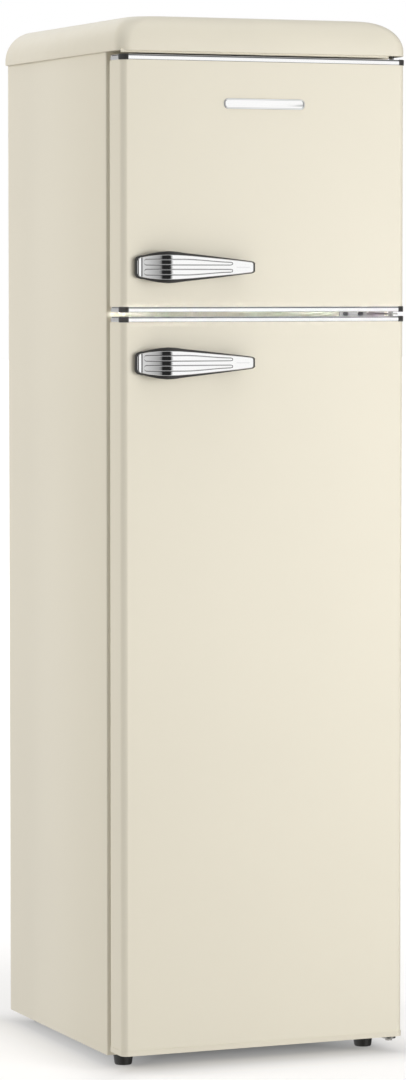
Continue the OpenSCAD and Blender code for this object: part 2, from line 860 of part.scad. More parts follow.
module door_liner(skin, x, z) {
    difference() {
        union() {
            wide_block(door_half - steel_t, [plate_y, skin[0]], [door_back, skin[1]]);
            dyke_ring(x, z, 0, door_back - 0.5, dyke_in);
        }
        dyke_ring(x, z, liner_t, plate_y - eps, dyke_in - liner_t);
    }
}

module door_foam(skin, x, z, bores) {
    difference() {
        union() {
            upright(skin[0], skin[1]) door_plan(steel_t, plate_y);
            dyke_ring(x, z, liner_t, plate_y - eps, dyke_in - liner_t);
        }
        for (b = bores)
            rod_z([pin_x, pin_y, b], bore_r + bore_wall, boss_len);
    }
}

// Magnetic gasket around the inside of a door
module gasket(z0, z1) {
    x = seal_x;
    a = [z0 + seal_in - 1, z1 - seal_in + 1];
    for (s = [[0, -6, -0.4], [2, door_back, -6]])
        facing(s[1], s[2]) difference() {
            translate([-x + s[0], a[0] + s[0]]) square([2 * (x - s[0]), a[1] - a[0] - 2 * s[0]]);
            translate([-x + seal_w - s[0], a[0] + seal_w - s[0]])
                square([2 * (x - seal_w + s[0]), a[1] - a[0] - 2 * (seal_w - s[0])]);
        }
}

// Moulded end cap of a door with the hinge bore; up is 1 at a top end and -1 at a bottom end
module end_cap(z, up, g) {
    z0 = up > 0 ? z - strip_h : z;
    boss = up > 0 ? z - boss_len : z;
    difference() {
        union() {
            upright(z0, z0 + strip_h) door_plan(g, door_back);
            rod_z([pin_x, pin_y, boss], bore_r + bore_wall, boss_len);
        }
        rod_z([pin_x, pin_y, up > 0 ? z - bore_len : z - eps], bore_r, bore_len + eps);
    }
}

// Bright strip around the face and sides of a door's end
module end_strip(z0) {
    upright(z0, z0 + strip_h) difference() {
        door_plan(-strip_out, door_back - 6);
        door_plan(3 - strip_out, door_back);
    }
}

module freezer_door_panel() {
    color(cream) place() door_skin(freezer_skin);
}

module freezer_door_liner() {
    color(white) place() door_liner(freezer_skin, freezer_pan_x, freezer_pan);
}

module freezer_door_foam() {
    color(foam_yellow) place()
        door_foam(freezer_skin, freezer_pan_x, freezer_pan, [split_hi, door_hi - boss_len]);
}

module freezer_gasket() {
    color(rubber_grey) place() gasket(split_hi, door_hi);
}

module freezer_door_caps() {
    color(cream) place() {
        end_cap(split_hi, -1, 3 - strip_out);
        end_cap(door_hi, 1, 3 - strip_out);
    }
}

module freezer_strips() {
    color(chrome) place() {
        end_strip(split_hi);
        end_strip(door_hi - strip_h);
    }
}

module fridge_door_panel() {
    color(cream) place() door_skin(fridge_skin);
}

module fridge_door_liner() {
    color(white) place() door_liner(fridge_skin, fridge_pan_x, fridge_pan);
}

module fridge_door_foam() {
    color(foam_yellow) place()
        door_foam(fridge_skin, fridge_pan_x, fridge_pan, [door_lo, split_lo - boss_len]);
}

module fridge_gasket() {
    color(rubber_grey) place() gasket(door_lo, split_lo);
}

module fridge_door_caps() {
    color(cream) place() {
        end_cap(door_lo, -1, -strip_out);
        end_cap(split_lo, 1, 3 - strip_out);
    }
}

module fridge_strip() {
    color(chrome) place() end_strip(split_lo - strip_h);
}

// ---------- handles ----------

// Flats of a handle's face from its free edge to its far end: [length, turn from the front]
handle_flats = [[10, 1.5], [4.4, -39.8], [10, -42], [10, -38.1], [10.5, -34.1], [6.5, -26.7],
    [6.5, -15.2], [12, -4.7], [handle_len - 61.3, 1.5]];
handle_n = len(handle_flats);
function face_rise(i) = i == 0 ? 0
    : face_rise(i - 1) + handle_flats[i - 1][0] * sin(handle_flats[i - 1][1]);
function face_run(i) = i == 0 ? 0
    : face_run(i - 1) + handle_flats[i - 1][0] * cos(handle_flats[i - 1][1]);
function face_turn(i) =
    (handle_flats[max(i - 1, 0)][1] + handle_flats[min(i, handle_n - 1)][1]) / 2;

// Corner i of a handle's face in plan, moved d behind the face
function face_point(i, d) = [-half_w + handle_in + face_run(i) - d * sin(face_turn(i)),
    -door_out - handle_out + face_rise(i) - face_rise(handle_n - 1) + d * cos(face_turn(i))];

// Teardrop outline, shrunk by g: blunt at the free edge, widest at the grip, narrow at the far end
module handle_plan(g) {
    x0 = -half_w + handle_in + g;
    x1 = -half_w + handle_in + handle_len - g;
    h = handle_h / 2 - g;
    tip = handle_tip / 2 - g;
    lower = [[x0, -0.6 * h], [x0 + 13, -0.86 * h], [x0 + 48, -h], [x1, -tip]];
    upper = [for (i = [3 : -1 : 0]) [lower[i][0], -lower[i][1]]];
    polygon(soft(concat(lower, upper), [5, 8, 24, 5, 5, 24, 8, 5]));
}

// Layer of a handle between two depths behind its curved face
module handle_layer(d0, d1) {
    upright(-handle_h, handle_h) polygon(concat([for (i = [0 : handle_n]) face_point(i, d0)],
        [for (i = [handle_n : -1 : 0]) face_point(i, d1)]));
}

// Everything in front of a depth behind that face
module handle_front(d) {
    far = -door_out - 2 * handle_out;
    upright(-handle_h, handle_h) polygon(concat([for (i = [0 : handle_n]) face_point(i, d)],
        [[half_w, far], [-half_w, far]]));
}

module handle_cover(z) {
    translate([0, 0, z]) intersection() {
        facing(-door_out - handle_out - eps, -door_out) handle_plan(2);
        handle_layer(0, 5);
    }
}

module handle_frame(z) {
    x0 = -half_w + handle_in;
    translate([0, 0, z]) {
        intersection() {
            facing(-door_out - handle_out - eps, -door_out) handle_plan(0);
            handle_layer(5, 9.5);
        }
        difference() {
            facing(-door_out - handle_out, -door_out) {
                round_rect([x0 + 16, -11], [x0 + 26, 11], 4);
                round_rect([x0 + 146, -8.5], [x0 + handle_len - 6, 8.5], 4);
            }
            handle_front(7);
        }
    }
}

module freezer_handle() {
    color(chrome) place() handle_cover(handle_up);
}

module freezer_handle_base() {
    color(black) place() handle_frame(handle_up);
}

module fridge_handle() {
    color(chrome) place() handle_cover(handle_down);
}

module fridge_handle_base() {
    color(black) place() handle_frame(handle_down);
}

// Plain bright plate on the freezer door
module badge() {
    color(chrome) place() facing(-door_out - 2, -door_out) round_rect(badge_at[0], badge_at[1], 8);
}

// ---------- door bins ----------

module bin(x, z, h, reach) {
    tray([-x, bin_back, z], [x, reach, z + h], bin_t, 3, 16);
}

module freezer_door_bins() {
    color(clear) place()
        for (z = freezer_bins_z)
            bin(freezer_bin_x, z, freezer_bin_h, freezer_bin_reach);
}

module door_bins() {
    color(clear) place()
        for (z = bins_z)
            bin(fridge_bin_x, z, bin_h, bin_reach);
}

module bottle_retainer() {
    y = bin_reach;
    top = bottle_bin_z + bin_h;
    color(white) place() difference() {
        block([-7, 34, top - 34], [7, y + 2.5, top + 3]);
        block([-8, y - bin_t - 0.3, top - 35], [8, y + 0.3, top + 0.4]);
        block([-8, 30, top - 35], [-2, y - bin_t - 3, top + 4]);
        block([2, 30, top - 35], [8, y - bin_t - 3, top + 4]);
    }
}

module dairy_bin() {
    x = fridge_bin_x;
    z = dairy_z;
    color(white) place() difference() {
        block([-x, bin_back, z[0]], [x, bin_reach, z[1]]);
        block([-x + 3, bin_back + 2, z[0] + 3], [x - 3, bin_reach + eps, z[1] - 3]);
        block([-x + 3, bin_reach - 14, z[0] + 3], [x - 3, bin_reach + eps, z[1] + eps]);
        rod_x([-x - eps, flap_pin[0], flap_pin[1]], flap_pin_r + run, 2 * x + 2 * eps);
    }
}

module dairy_flap() {
    x = fridge_bin_x - 3.5;
    color(clear) place() {
        rod_x([-x - 3, flap_pin[0], flap_pin[1]], flap_pin_r, 2 * x + 6);
        rod_x([-x, flap_pin[0], flap_pin[1]], 4.5, 2 * x);
        block([-x, flap_pin[0] - 1, dairy_z[0] + 5], [x, flap_pin[0] + 1.5, flap_pin[1]]);
        block([-30, flap_pin[0] + 1.5, dairy_z[0] + 8], [30, flap_pin[0] + 5, dairy_z[0] + 12]);
    }
}

cabinet_shell();
back_panel();
base_pan();
insulation_foam();
freezer_liner();
fridge_liner();
mullion_rail();
top_hood();
top_hinge();
middle_hinge();
bottom_hinge();
hinge_screws();
evaporator_plates();
freezer_rack();
ice_tray();
glass_shelf_1();
glass_shelf_2();
glass_shelf_3();
crisper_cover();
shelf_trims();
lamp_housing();
lamp_bulb();
lamp_cover();
switch_body();
compressor();
compressor_mounts();
relay_box();
refrigerant_pipes();
drip_tray();
condenser();
cord_gland();
thermostat_knob();
switch_plunger();
crisper();
foot_left();
foot_right();
roller_left();
roller_right();
freezer_door_panel();
freezer_door_liner();
freezer_door_foam();
freezer_gasket();
freezer_door_caps();
freezer_strips();
freezer_handle();
freezer_handle_base();
freezer_door_bins();
badge();
fridge_door_panel();
fridge_door_liner();
fridge_door_foam();
fridge_gasket();
fridge_door_caps();
fridge_strip();
fridge_handle();
fridge_handle_base();
dairy_bin();
dairy_flap();
door_bins();
bottle_retainer();
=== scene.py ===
"""Tall two-door refrigerator in a rounded retro style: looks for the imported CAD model.

Everything is drawn in millimetres with y = 0 on the cabinet's front flange, as in the CAD source,
and row() moves it into the shared frame in metres.
"""

import json
import math

import bmesh
import bpy
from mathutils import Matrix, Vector

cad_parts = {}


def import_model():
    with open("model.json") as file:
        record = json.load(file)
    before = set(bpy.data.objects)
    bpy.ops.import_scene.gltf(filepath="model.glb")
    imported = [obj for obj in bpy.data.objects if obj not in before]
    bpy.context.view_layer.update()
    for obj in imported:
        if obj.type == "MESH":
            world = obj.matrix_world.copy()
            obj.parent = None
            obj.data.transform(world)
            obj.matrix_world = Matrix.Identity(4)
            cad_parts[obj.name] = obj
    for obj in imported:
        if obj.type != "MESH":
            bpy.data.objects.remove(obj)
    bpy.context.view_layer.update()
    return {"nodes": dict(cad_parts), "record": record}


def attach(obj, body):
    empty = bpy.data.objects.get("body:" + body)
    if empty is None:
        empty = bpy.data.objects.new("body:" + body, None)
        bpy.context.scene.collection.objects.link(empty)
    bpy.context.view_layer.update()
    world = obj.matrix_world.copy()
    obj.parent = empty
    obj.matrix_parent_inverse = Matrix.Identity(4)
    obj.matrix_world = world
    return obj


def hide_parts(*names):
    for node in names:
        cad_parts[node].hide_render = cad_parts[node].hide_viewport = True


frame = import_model()
NODES = frame["nodes"]

MM = 0.001
FRONT_Y = -206.5            # the cabinet's front flange in the shared frame

CAB_X, CAB_D = 260.0, 483.0
CAB_LO, CAB_HI = 20.0, 1714.0
DOOR_X, DOOR_FACE, DOOR_BACK, DOOR_R = 259.0, -70.0, -15.0, 11.0
STRIP_H = 9.0
FRIDGE_DOOR = (29.0, 1270.0)
FREEZER_DOOR = (1277.5, 1705.0)
HOOD_LO, HOOD_HI = 1711.0, 1771.0
PLATE_END = 230.0           # the plate and lip under the hood stop here, clear of the top hinge


def row(p):
    """A drawing point in millimetres as a point of the shared frame in metres."""
    return Vector((p[0] * MM, (p[1] + FRONT_Y) * MM, p[2] * MM))


# ---------- mesh helpers ----------

def link(name, mesh, material, body, replaced=(), angle=35, second=None):
    """Makes the object, smooths it by angle, parents it to its body's empty and hides the CAD parts it
    replaces.

    second is (material, test of a face's index), for faces that have another finish.
    """
    mesh.materials.append(material)
    if second:
        mesh.materials.append(second[0])
        for face in mesh.polygons:
            face.material_index = 1 if second[1](face.index) else 0
    bm = bmesh.new()
    bm.from_mesh(mesh)
    bmesh.ops.remove_doubles(bm, verts=bm.verts, dist=1e-6)
    bmesh.ops.recalc_face_normals(bm, faces=bm.faces)
    bm.to_mesh(mesh)
    bm.free()
    mesh.polygons.foreach_set("use_smooth", [True] * len(mesh.polygons))
    mesh.set_sharp_from_angle(angle=math.radians(angle))
    obj = bpy.data.objects.new(name, mesh)
    bpy.context.scene.collection.objects.link(obj)
    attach(obj, body)
    if replaced:
        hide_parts(*replaced)
    return obj


class Mesh:
    """Collects closed shells in millimetres and turns them into one object."""

    def __init__(self):
        self.verts = []
        self.faces = []

    def rings(self, rings, closed=True, caps=True):
        """Skins a list of rings with the same number of points; caps close the first and the last."""
        start = len(self.verts)
        n = len(rings[0])
        for ring in rings:
            self.verts.extend(ring)
        for i in range(len(rings) - 1):
            for j in range(n if closed else n - 1):
                a = start + i * n + j
                b = start + i * n + (j + 1) % n
                self.faces.append((a, b, b + n, a + n))
        if caps:
            self.faces.append(tuple(range(start + n - 1, start - 1, -1)))
            last = start + (len(rings) - 1) * n
            self.faces.append(tuple(range(last, last + n)))
        return self

    def loop(self, rings):
        """Skins rings into a closed hoop, the last joined to the first."""
        start = len(self.verts)
        n = len(rings[0])
        m = len(rings)
        for ring in rings:
            self.verts.extend(ring)
        for i in range(m):
            for j in range(n):
                a, b = start + i * n + j, start + i * n + (j + 1) % n
                c, d = start + ((i + 1) % m) * n + (j + 1) % n, start + ((i + 1) % m) * n + j
                self.faces.append((a, b, c, d))
        return self

    def box(self, lo, hi, r=0.0):
        """Box with its edges parallel to z rounded, and its ends chamfered a little."""
        r = max(r, 0.01)
        c = min(r, 0.6)
        rings = []
        for z, g in ((lo[2], c), (lo[2] + c, 0), (hi[2] - c, 0), (hi[2], c)):
            outline = rounded(lo[0] + g, lo[1] + g, hi[0] - g, hi[1] - g, max(r - g, 0.01), 5)
            rings.append([(x, y, z) for x, y in outline])
        return self.rings(rings)

    def tube(self, points, r, sides=10):
        """Round tube along a line of points, with flat ends."""
        pts = [Vector(p) for p in points]
        rings = []
        normal = None
        for i, p in enumerate(pts):
            t = (pts[min(i + 1, len(pts) - 1)] - pts[max(i - 1, 0)]).normalized()
            if normal is None:
                up = Vector((0, 0, 1)) if abs(t.z) < 0.9 else Vector((1, 0, 0))
                normal = t.cross(up).normalized()
            normal = (normal - t * normal.dot(t)).normalized()
            other = t.cross(normal)
            ring = []
            for k in range(sides):
                a = 2 * math.pi * k / sides
                ring.append(tuple(p + normal * (r * math.cos(a)) + other * (r * math.sin(a))))
            rings.append(ring)
        return self.rings(rings)

    def lathe(self, profile, at, axis="z", sides=48):
        """Turns (radius, height) points about an axis through the point at."""
        rings = []
        for r, h in profile:
            ring = []
            for k in range(sides):
                a = 2 * math.pi * k / sides
                u, v = r * math.cos(a), r * math.sin(a)
                p = {"z": (u, v, h), "y": (u, h, v), "x": (h, u, v)}[axis]
                ring.append((at[0] + p[0], at[1] + p[1], at[2] + p[2]))
            rings.append(ring)
        return self.rings(rings)

    def done(self, name, material, body, slot, replaced=(), angle=35, second=None):
        mesh = bpy.data.meshes.new(name)
        mesh.from_pydata([row(v) for v in self.verts], [], self.faces)
        mesh.update()
        return link(name, mesh, material, body, replaced, angle, second)


def arc(cx, cy, r, a0, a1, n):
    """Points of an arc in degrees, both ends included."""
    return [(cx + r * math.cos(math.radians(a0 + (a1 - a0) * i / n)),
             cy + r * math.sin(math.radians(a0 + (a1 - a0) * i / n))) for i in range(n + 1)]


def rounded(x0, y0, x1, y1, r, n=8):
    """Rectangle with round corners, counter-clockwise."""
    return (arc(x1 - r, y0 + r, r, -90, 0, n) + arc(x1 - r, y1 - r, r, 0, 90, n)
            + arc(x0 + r, y1 - r, r, 90, 180, n) + arc(x0 + r, y0 + r, r, 180, 270, n))


def smooth(t):
    t = max(0.0, min(1.0, t))
    return t * t * (3 - 2 * t)


def lerp(a, b, t):
    return a + (b - a) * t


# ---------- materials ----------

def material(name, colour, rough, metal=0.0, rough_var=0.06, tint=0.03, tint_scale=6.0,
             bumps=((900, 0.12, 0.0004),), coat=0.0, extra=None, streak=None, rough_scale=60, **sockets):
    """Principled material: colour and roughness vary over the surface, and noise bumps give it grain.

    bumps is a list of (scale per metre, strength, distance in metres). streak stretches the grain.
    """
    mat = bpy.data.materials.new(name)
    mat.use_nodes = True
    nt = mat.node_tree
    nodes, links = nt.nodes, nt.links
    shader = nodes["Principled BSDF"]
    coords = nodes.new("ShaderNodeTexCoord")
    mapping = nodes.new("ShaderNodeMapping")
    mapping.inputs["Scale"].default_value = streak or (1, 1, 1)
    links.new(coords.outputs["Object"], mapping.inputs["Vector"])
    vector = mapping.outputs["Vector"]

    wide = nodes.new("ShaderNodeTexNoise")
    wide.inputs["Scale"].default_value = tint_scale
    wide.inputs["Detail"].default_value = 5
    links.new(coords.outputs["Object"], wide.inputs["Vector"])
    ramp = nodes.new("ShaderNodeValToRGB")
    low = [c * (1 - tint) for c in colour]
    high = [min(1, c * (1 + tint)) for c in colour]
    ramp.color_ramp.elements[0].position = 0.3
    ramp.color_ramp.elements[0].color = (*low, 1)
    ramp.color_ramp.elements[1].position = 0.7
    ramp.color_ramp.elements[1].color = (*high, 1)
    links.new(wide.outputs["Fac"], ramp.inputs["Fac"])
    colour_out = ramp.outputs["Color"]

    fine = nodes.new("ShaderNodeTexNoise")
    fine.inputs["Scale"].default_value = rough_scale
    fine.inputs["Detail"].default_value = 2
    links.new(vector, fine.inputs["Vector"])
    spread = nodes.new("ShaderNodeMapRange")
    spread.inputs["To Min"].default_value = max(0.02, rough - 2 * rough_var)
    spread.inputs["To Max"].default_value = rough + 2 * rough_var
    links.new(fine.outputs["Fac"], spread.inputs["Value"])
    links.new(spread.outputs["Result"], shader.inputs["Roughness"])

    normal = None
    for scale, strength, distance in bumps:
        grain = nodes.new("ShaderNodeTexNoise")
        grain.inputs["Scale"].default_value = scale
        grain.inputs["Detail"].default_value = 2
        links.new(vector, grain.inputs["Vector"])
        bump = nodes.new("ShaderNodeBump")
        bump.inputs["Strength"].default_value = strength
        bump.inputs["Distance"].default_value = distance
        links.new(grain.outputs["Fac"], bump.inputs["Height"])
        if normal is not None:
            links.new(normal, bump.inputs["Normal"])
        normal = bump.outputs["Normal"]
    if extra:
        colour_out, normal = extra(nt, coords, colour_out, normal)
    links.new(colour_out, shader.inputs["Base Color"])
    if normal is not None:
        links.new(normal, shader.inputs["Normal"])
    shader.inputs["Metallic"].default_value = metal
    shader.inputs["Coat Weight"].default_value = coat
    for key, value in sockets.items():
        shader.inputs[key.replace("_", " ")].default_value = value
    return mat


def worn_edges(dark, amount=0.5, width=0.5):
    """Returns an extra step that tints outer edges, in patches of noise, with a darker or duller colour."""
    def add(nt, coords, colour, normal):
        nodes, links = nt.nodes, nt.links
        geometry = nodes.new("ShaderNodeNewGeometry")
        span = nodes.new("ShaderNodeMapRange")
        span.inputs["From Min"].default_value = 0.5 + 0.02 * width
        span.inputs["From Max"].default_value = 0.5 + 0.2 * width
        span.inputs["To Max"].default_value = amount
        links.new(geometry.outputs["Pointiness"], span.inputs["Value"])
        noise = nodes.new("ShaderNodeTexNoise")
        noise.inputs["Scale"].default_value = 25
        noise.inputs["Detail"].default_value = 6
        links.new(coords.outputs["Object"], noise.inputs["Vector"])
        both = nodes.new("ShaderNodeMath")
        both.operation = "MULTIPLY"
        links.new(span.outputs["Result"], both.inputs[0])
        links.new(noise.outputs["Fac"], both.inputs[1])
        mix = nodes.new("ShaderNodeMix")
        mix.data_type = "RGBA"
        links.new(both.outputs["Value"], mix.inputs["Factor"])
        links.new(colour, mix.inputs["A"])
        mix.inputs["B"].default_value = (*dark, 1)
        return mix.outputs["Result"], normal
    return add


def crystals(nt, coords, colour, normal):
    """Spangle of galvanised sheet."""
    nodes, links = nt.nodes, nt.links
    cells = nodes.new("ShaderNodeTexVoronoi")
    cells.inputs["Scale"].default_value = 70
    links.new(coords.outputs["Object"], cells.inputs["Vector"])
    grey = nodes.new("ShaderNodeSeparateColor")
    links.new(cells.outputs["Color"], grey.inputs["Color"])
    span = nodes.new("ShaderNodeMapRange")
    span.inputs["To Min"].default_value = 0.88
    span.inputs["To Max"].default_value = 1.0
    links.new(grey.outputs["Red"], span.inputs["Value"])
    mix = nodes.new("ShaderNodeMix")
    mix.data_type = "RGBA"
    mix.blend_type = "MULTIPLY"
    mix.inputs["Factor"].default_value = 1
    links.new(colour, mix.inputs["A"])
    links.new(span.outputs["Result"], mix.inputs["B"])
    return mix.outputs["Result"], normal


def foam_cells(nt, coords, colour, normal):
    """Open cells of cut polyurethane foam."""
    nodes, links = nt.nodes, nt.links
    cells = nodes.new("ShaderNodeTexVoronoi")
    cells.inputs["Scale"].default_value = 420
    links.new(coords.outputs["Object"], cells.inputs["Vector"])
    bump = nodes.new("ShaderNodeBump")
    bump.inputs["Strength"].default_value = 0.7
    bump.inputs["Distance"].default_value = 0.0015
    links.new(cells.outputs["Distance"], bump.inputs["Height"])
    links.new(normal, bump.inputs["Normal"])
    return colour, bump.outputs["Normal"]


CREAM = (0.800, 0.752, 0.622)
ORANGE_PEEL = ((420, 0.035, 0.0003), (5, 0.04, 0.002))

MATS = {
    "cream_enamel": material("cream_enamel", CREAM, 0.32, rough_var=0.008, tint=0.012, tint_scale=2.5,
                             bumps=ORANGE_PEEL, rough_scale=4, Specular_IOR_Level=0.5),
    "cream_plastic": material("cream_plastic", (0.786, 0.738, 0.610), 0.34, rough_var=0.05, tint=0.015,
                              bumps=((700, 0.10, 0.0003), (14, 0.08, 0.001)), coat=0.15,
                              Coat_Roughness=0.2, extra=worn_edges((0.55, 0.48, 0.35), 0.2)),
    "chrome": material("chrome", (0.955, 0.955, 0.95), 0.07, metal=1, rough_var=0.035, tint=0.02,
                       bumps=((1200, 0.03, 0.0002),), streak=(1, 1, 6),
                       extra=worn_edges((0.55, 0.53, 0.50), 0.35)),
    "white_plastic": material("white_plastic", (0.80, 0.80, 0.77), 0.36, rough_var=0.05, tint=0.015,
                              bumps=((650, 0.10, 0.0003), (12, 0.10, 0.001)),
                              extra=worn_edges((0.62, 0.58, 0.48), 0.25)),
    "clear_plastic": material("clear_plastic", (0.972, 0.984, 0.985), 0.06, rough_var=0.025, tint=0.015,
                              bumps=((500, 0.05, 0.0002), (20, 0.08, 0.0006)),
                              Transmission_Weight=0.95, IOR=1.46),
    "shelf_glass": material("shelf_glass", (0.84, 0.95, 0.90), 0.03, rough_var=0.015, tint=0.02,
                            bumps=((8, 0.03, 0.0005),), Transmission_Weight=0.95, IOR=1.52),
    "lamp_glass": material("lamp_glass", (0.95, 0.92, 0.84), 0.25, rough_var=0.05, tint=0.02,
                           bumps=((600, 0.05, 0.0002),), Transmission_Weight=0.5, IOR=1.5),
    "foam": material("foam", (0.78, 0.66, 0.40), 0.9, rough_var=0.05, tint=0.10, tint_scale=14,
                     bumps=((120, 0.5, 0.002),), extra=foam_cells),
    # dark material that paints shade into the grooves of the bright strips and of the grip plates
    "groove_shade": material("groove_shade", (0.11, 0.11, 0.115), 0.45, rough_var=0.1, tint=0.15,
                             tint_scale=60, bumps=((1500, 0.3, 0.0003),)),
    "galvanised": material("galvanised", (0.66, 0.68, 0.69), 0.42, metal=0.9, rough_var=0.10, tint=0.06,
                           bumps=((400, 0.10, 0.0003),), extra=crystals),
    "zinc_steel": material("zinc_steel", (0.50, 0.49, 0.46), 0.35, metal=1, rough_var=0.10, tint=0.10,
                           tint_scale=40, bumps=((900, 0.15, 0.0003),),
                           extra=worn_edges((0.30, 0.26, 0.20), 0.5)),
    "screw_steel": material("screw_steel", (0.16, 0.155, 0.15), 0.38, metal=0.8, rough_var=0.08, tint=0.15,
                            tint_scale=60, bumps=((900, 0.2, 0.0003),),
                            extra=worn_edges((0.40, 0.38, 0.35), 0.5)),
    "bright_zinc": material("bright_zinc", (0.86, 0.855, 0.84), 0.24, metal=0.55, rough_var=0.06, tint=0.06,
                            tint_scale=60, bumps=((900, 0.12, 0.0003),),
                            extra=worn_edges((0.42, 0.40, 0.36), 0.35)),
    "aluminium": material("aluminium", (0.80, 0.81, 0.82), 0.38, metal=1, rough_var=0.08, tint=0.04,
                          bumps=((500, 0.20, 0.0003),), streak=(0.1, 1, 1)),
    "white_wire": material("white_wire", (0.82, 0.82, 0.80), 0.30, rough_var=0.05, tint=0.03,
                           tint_scale=30, bumps=((350, 0.20, 0.0004),)),
    "black_enamel": material("black_enamel", (0.022, 0.022, 0.024), 0.32, rough_var=0.08, tint=0.2,
                             tint_scale=20, bumps=((300, 0.12, 0.0005),), coat=0.2,
                             extra=worn_edges((0.12, 0.11, 0.10), 0.4)),
    "black_rubber": material("black_rubber", (0.028, 0.028, 0.028), 0.75, rough_var=0.10, tint=0.25,
                             tint_scale=50, bumps=((800, 0.35, 0.0005),),
                             extra=worn_edges((0.10, 0.10, 0.10), 0.5)),
    "black_plastic": material("black_plastic", (0.035, 0.034, 0.032), 0.42, rough_var=0.08, tint=0.15,
                              tint_scale=30, bumps=((1100, 0.25, 0.0003),),
                              extra=worn_edges((0.13, 0.12, 0.11), 0.4)),
    "copper": material("copper", (0.72, 0.38, 0.22), 0.32, metal=1, rough_var=0.12, tint=0.22,
                       tint_scale=45, bumps=((500, 0.15, 0.0003),),
                       extra=worn_edges((0.25, 0.14, 0.09), 0.5)),
    "gasket_rubber": material("gasket_rubber", (0.60, 0.58, 0.52), 0.55, rough_var=0.08, tint=0.05,
                              tint_scale=20, bumps=((600, 0.20, 0.0003),)),
}

# ---------- hood ----------


def hood_outline(half, y0, y1, r, back_r=6.0):
    """Plan of the hood: round front corners, tight back corners, counter-clockwise from the front."""
    front = arc(-half + r, y0 + r, r, 180, 270, 14) + arc(half - r, y0 + r, r, 270, 360, 14)
    back = arc(half - back_r, y1 - back_r, back_r, 0, 90, 4)
    back += arc(-half + back_r, y1 - back_r, back_r, 90, 180, 4)
    return front + back


def hood():
    """Hood with rolled ends and a rolled front, hollow below, and the plate and lip under its overhang."""
    x, y0, y1 = 265.0, -68.0, 487.0
    lo, hi = HOOD_LO, HOOD_HI
    end_roll, front_roll, rise, corner, t = 54.0, 42.0, 52.0, 24.0, 3.0
    outer = []

    def level(g, z, end, front, back):
        r = corner + 0.45 * front - g
        outer_pts = hood_outline(x - end - g, y0 + front + g, y1 - back - g, max(r, 2))
        return [(px, py, z) for px, py in outer_pts]

    outer.append(level(1.2, lo, 0, 0, 0))
    outer.append(level(0.25, lo + 0.4, 0, 0, 0))
    outer.append(level(0, lo + 1.4, 0, 0, 0))
    outer.append(level(0, hi - rise - 1, 0, 0, 0))
    steps = 26
    for i in range(steps + 1):
        a = math.pi / 2 * i / steps
        c = 1 - math.cos(a)
        z = hi - rise * (1 - math.sin(a))
        outer.append(level(0, z, end_roll * c, front_roll * c, 8 * c))
    outer.append(level(8, hi, end_roll, front_roll, 8))
    inner = []
    inner.append(level(t, lo, 0, 0, 0))
    inner.append(level(t, hi - rise - 1, 0, 0, 0))
    for i in range(0, steps + 1, 3):
        a = math.pi / 2 * i / steps
        c = 1 - math.cos(a)
        z = hi - t - (rise - t) * (1 - math.sin(a))
        inner.append(level(t, z, (end_roll - t) * c, (front_roll - t) * c, 6 * c))
    m = Mesh()
    m.rings(list(reversed(outer)) + inner)
    m.done("hood_cover", MATS["cream_plastic"], "cabinet", "cream_plastic", ["top_hood"], angle=50)

    # flat plate under the overhang and a lip behind its front edge
    outline = [(-258, -64.5), (PLATE_END, -64.5), (PLATE_END, -50), (PLATE_END, -30), (PLATE_END, -0.6),
               (-258, -0.6)]
    m = Mesh()
    m.rings([[(px, py, z) for px, py in outline] for z in (lo + 0.2, lo + 2.6)])
    m.box((-258, -65.5, lo - 3.2), (PLATE_END, -62.5, lo + 0.4), 0.6)
    m.done("hood_underside", MATS["cream_plastic"], "cabinet", "cream_plastic")


hood()

# ---------- cabinet wrap ----------


def cabinet_wrap():
    """Sides with rolled front edges and folded flanges, the roof and the top flange."""
    m = Mesh()
    t, r = 1.0, 3.0
    x, flange = CAB_X, 232.0
    for s in (-1, 1):
        outline = [(flange, t), (flange, 0.25), (flange + 0.25, 0.0)]
        outline += arc(x - r, r, r, -90, 0, 8)
        outline += [(x, CAB_D - 0.6), (x - 0.3, CAB_D), (x - 0.7, CAB_D), (x - t, CAB_D - 0.6)]
        outline += [(x - t, r), *arc(x - r, r, r - t, 0, -90, 8)[1:]]
        m.rings([[(s * px, py, z) for px, py in outline] for z in (CAB_LO, CAB_HI - t)])
    m.box((-x + 0.05, 0.05, CAB_HI - t), (x - 0.05, CAB_D - 0.05, CAB_HI), 1.5)
    m.box((-flange, 0, CAB_HI - 33), (flange, t, CAB_HI - t), 0.3)
    m.done("cabinet_wrap", MATS["cream_enamel"], "cabinet", "cream_enamel", ["cabinet_shell"])


cabinet_wrap()

# ---------- doors ----------


# bends of a door's left front corner, side to face: (from, to, radius); the middle one is nearly flat
CORNER = [(-90, -60, 8.0), (-60, -30, 16.2), (-30, 0, 8.0)]


def door_corner(g, steps=6):
    """Plan of a door's left front corner from its side to its face, shrunk by g."""
    x, y = -DOOR_X, DOOR_FACE + DOOR_R
    out = []
    for start, end, r in CORNER:
        b = math.radians(start)
        for i in range(1 if out else 0, steps + 1):
            a = math.radians(lerp(start, end, i / steps))
            px, py = x + r * (math.sin(a) - math.sin(b)), y - r * (math.cos(a) - math.cos(b))
            out.append((px - g * math.sin(a), py + g * math.cos(a)))
        x, y = px, py
    return out


def door_path(g, y_end):
    """Plan of a door's skin from its left back edge round the front to its right back edge."""
    left = door_corner(g)
    x = DOOR_X - g
    return [(-x, y_end), *left, *[(-px, py) for px, py in reversed(left)], (x, y_end)]


def door_skin(name, z0, z1, body, node):
    """Sheet of the door: face, round corners and sides, ending square at the back."""
    t = 1.0
    rings = []
    outer, inner = door_path(0, DOOR_BACK), door_path(t, DOOR_BACK)
    for p, q in zip(outer, inner):
        rings.append([(*p, z0), (*p, z1), (*q, z1), (*q, z0)])
    Mesh().rings(rings).done(name, MATS["cream_enamel"], body, "cream_enamel", [node])


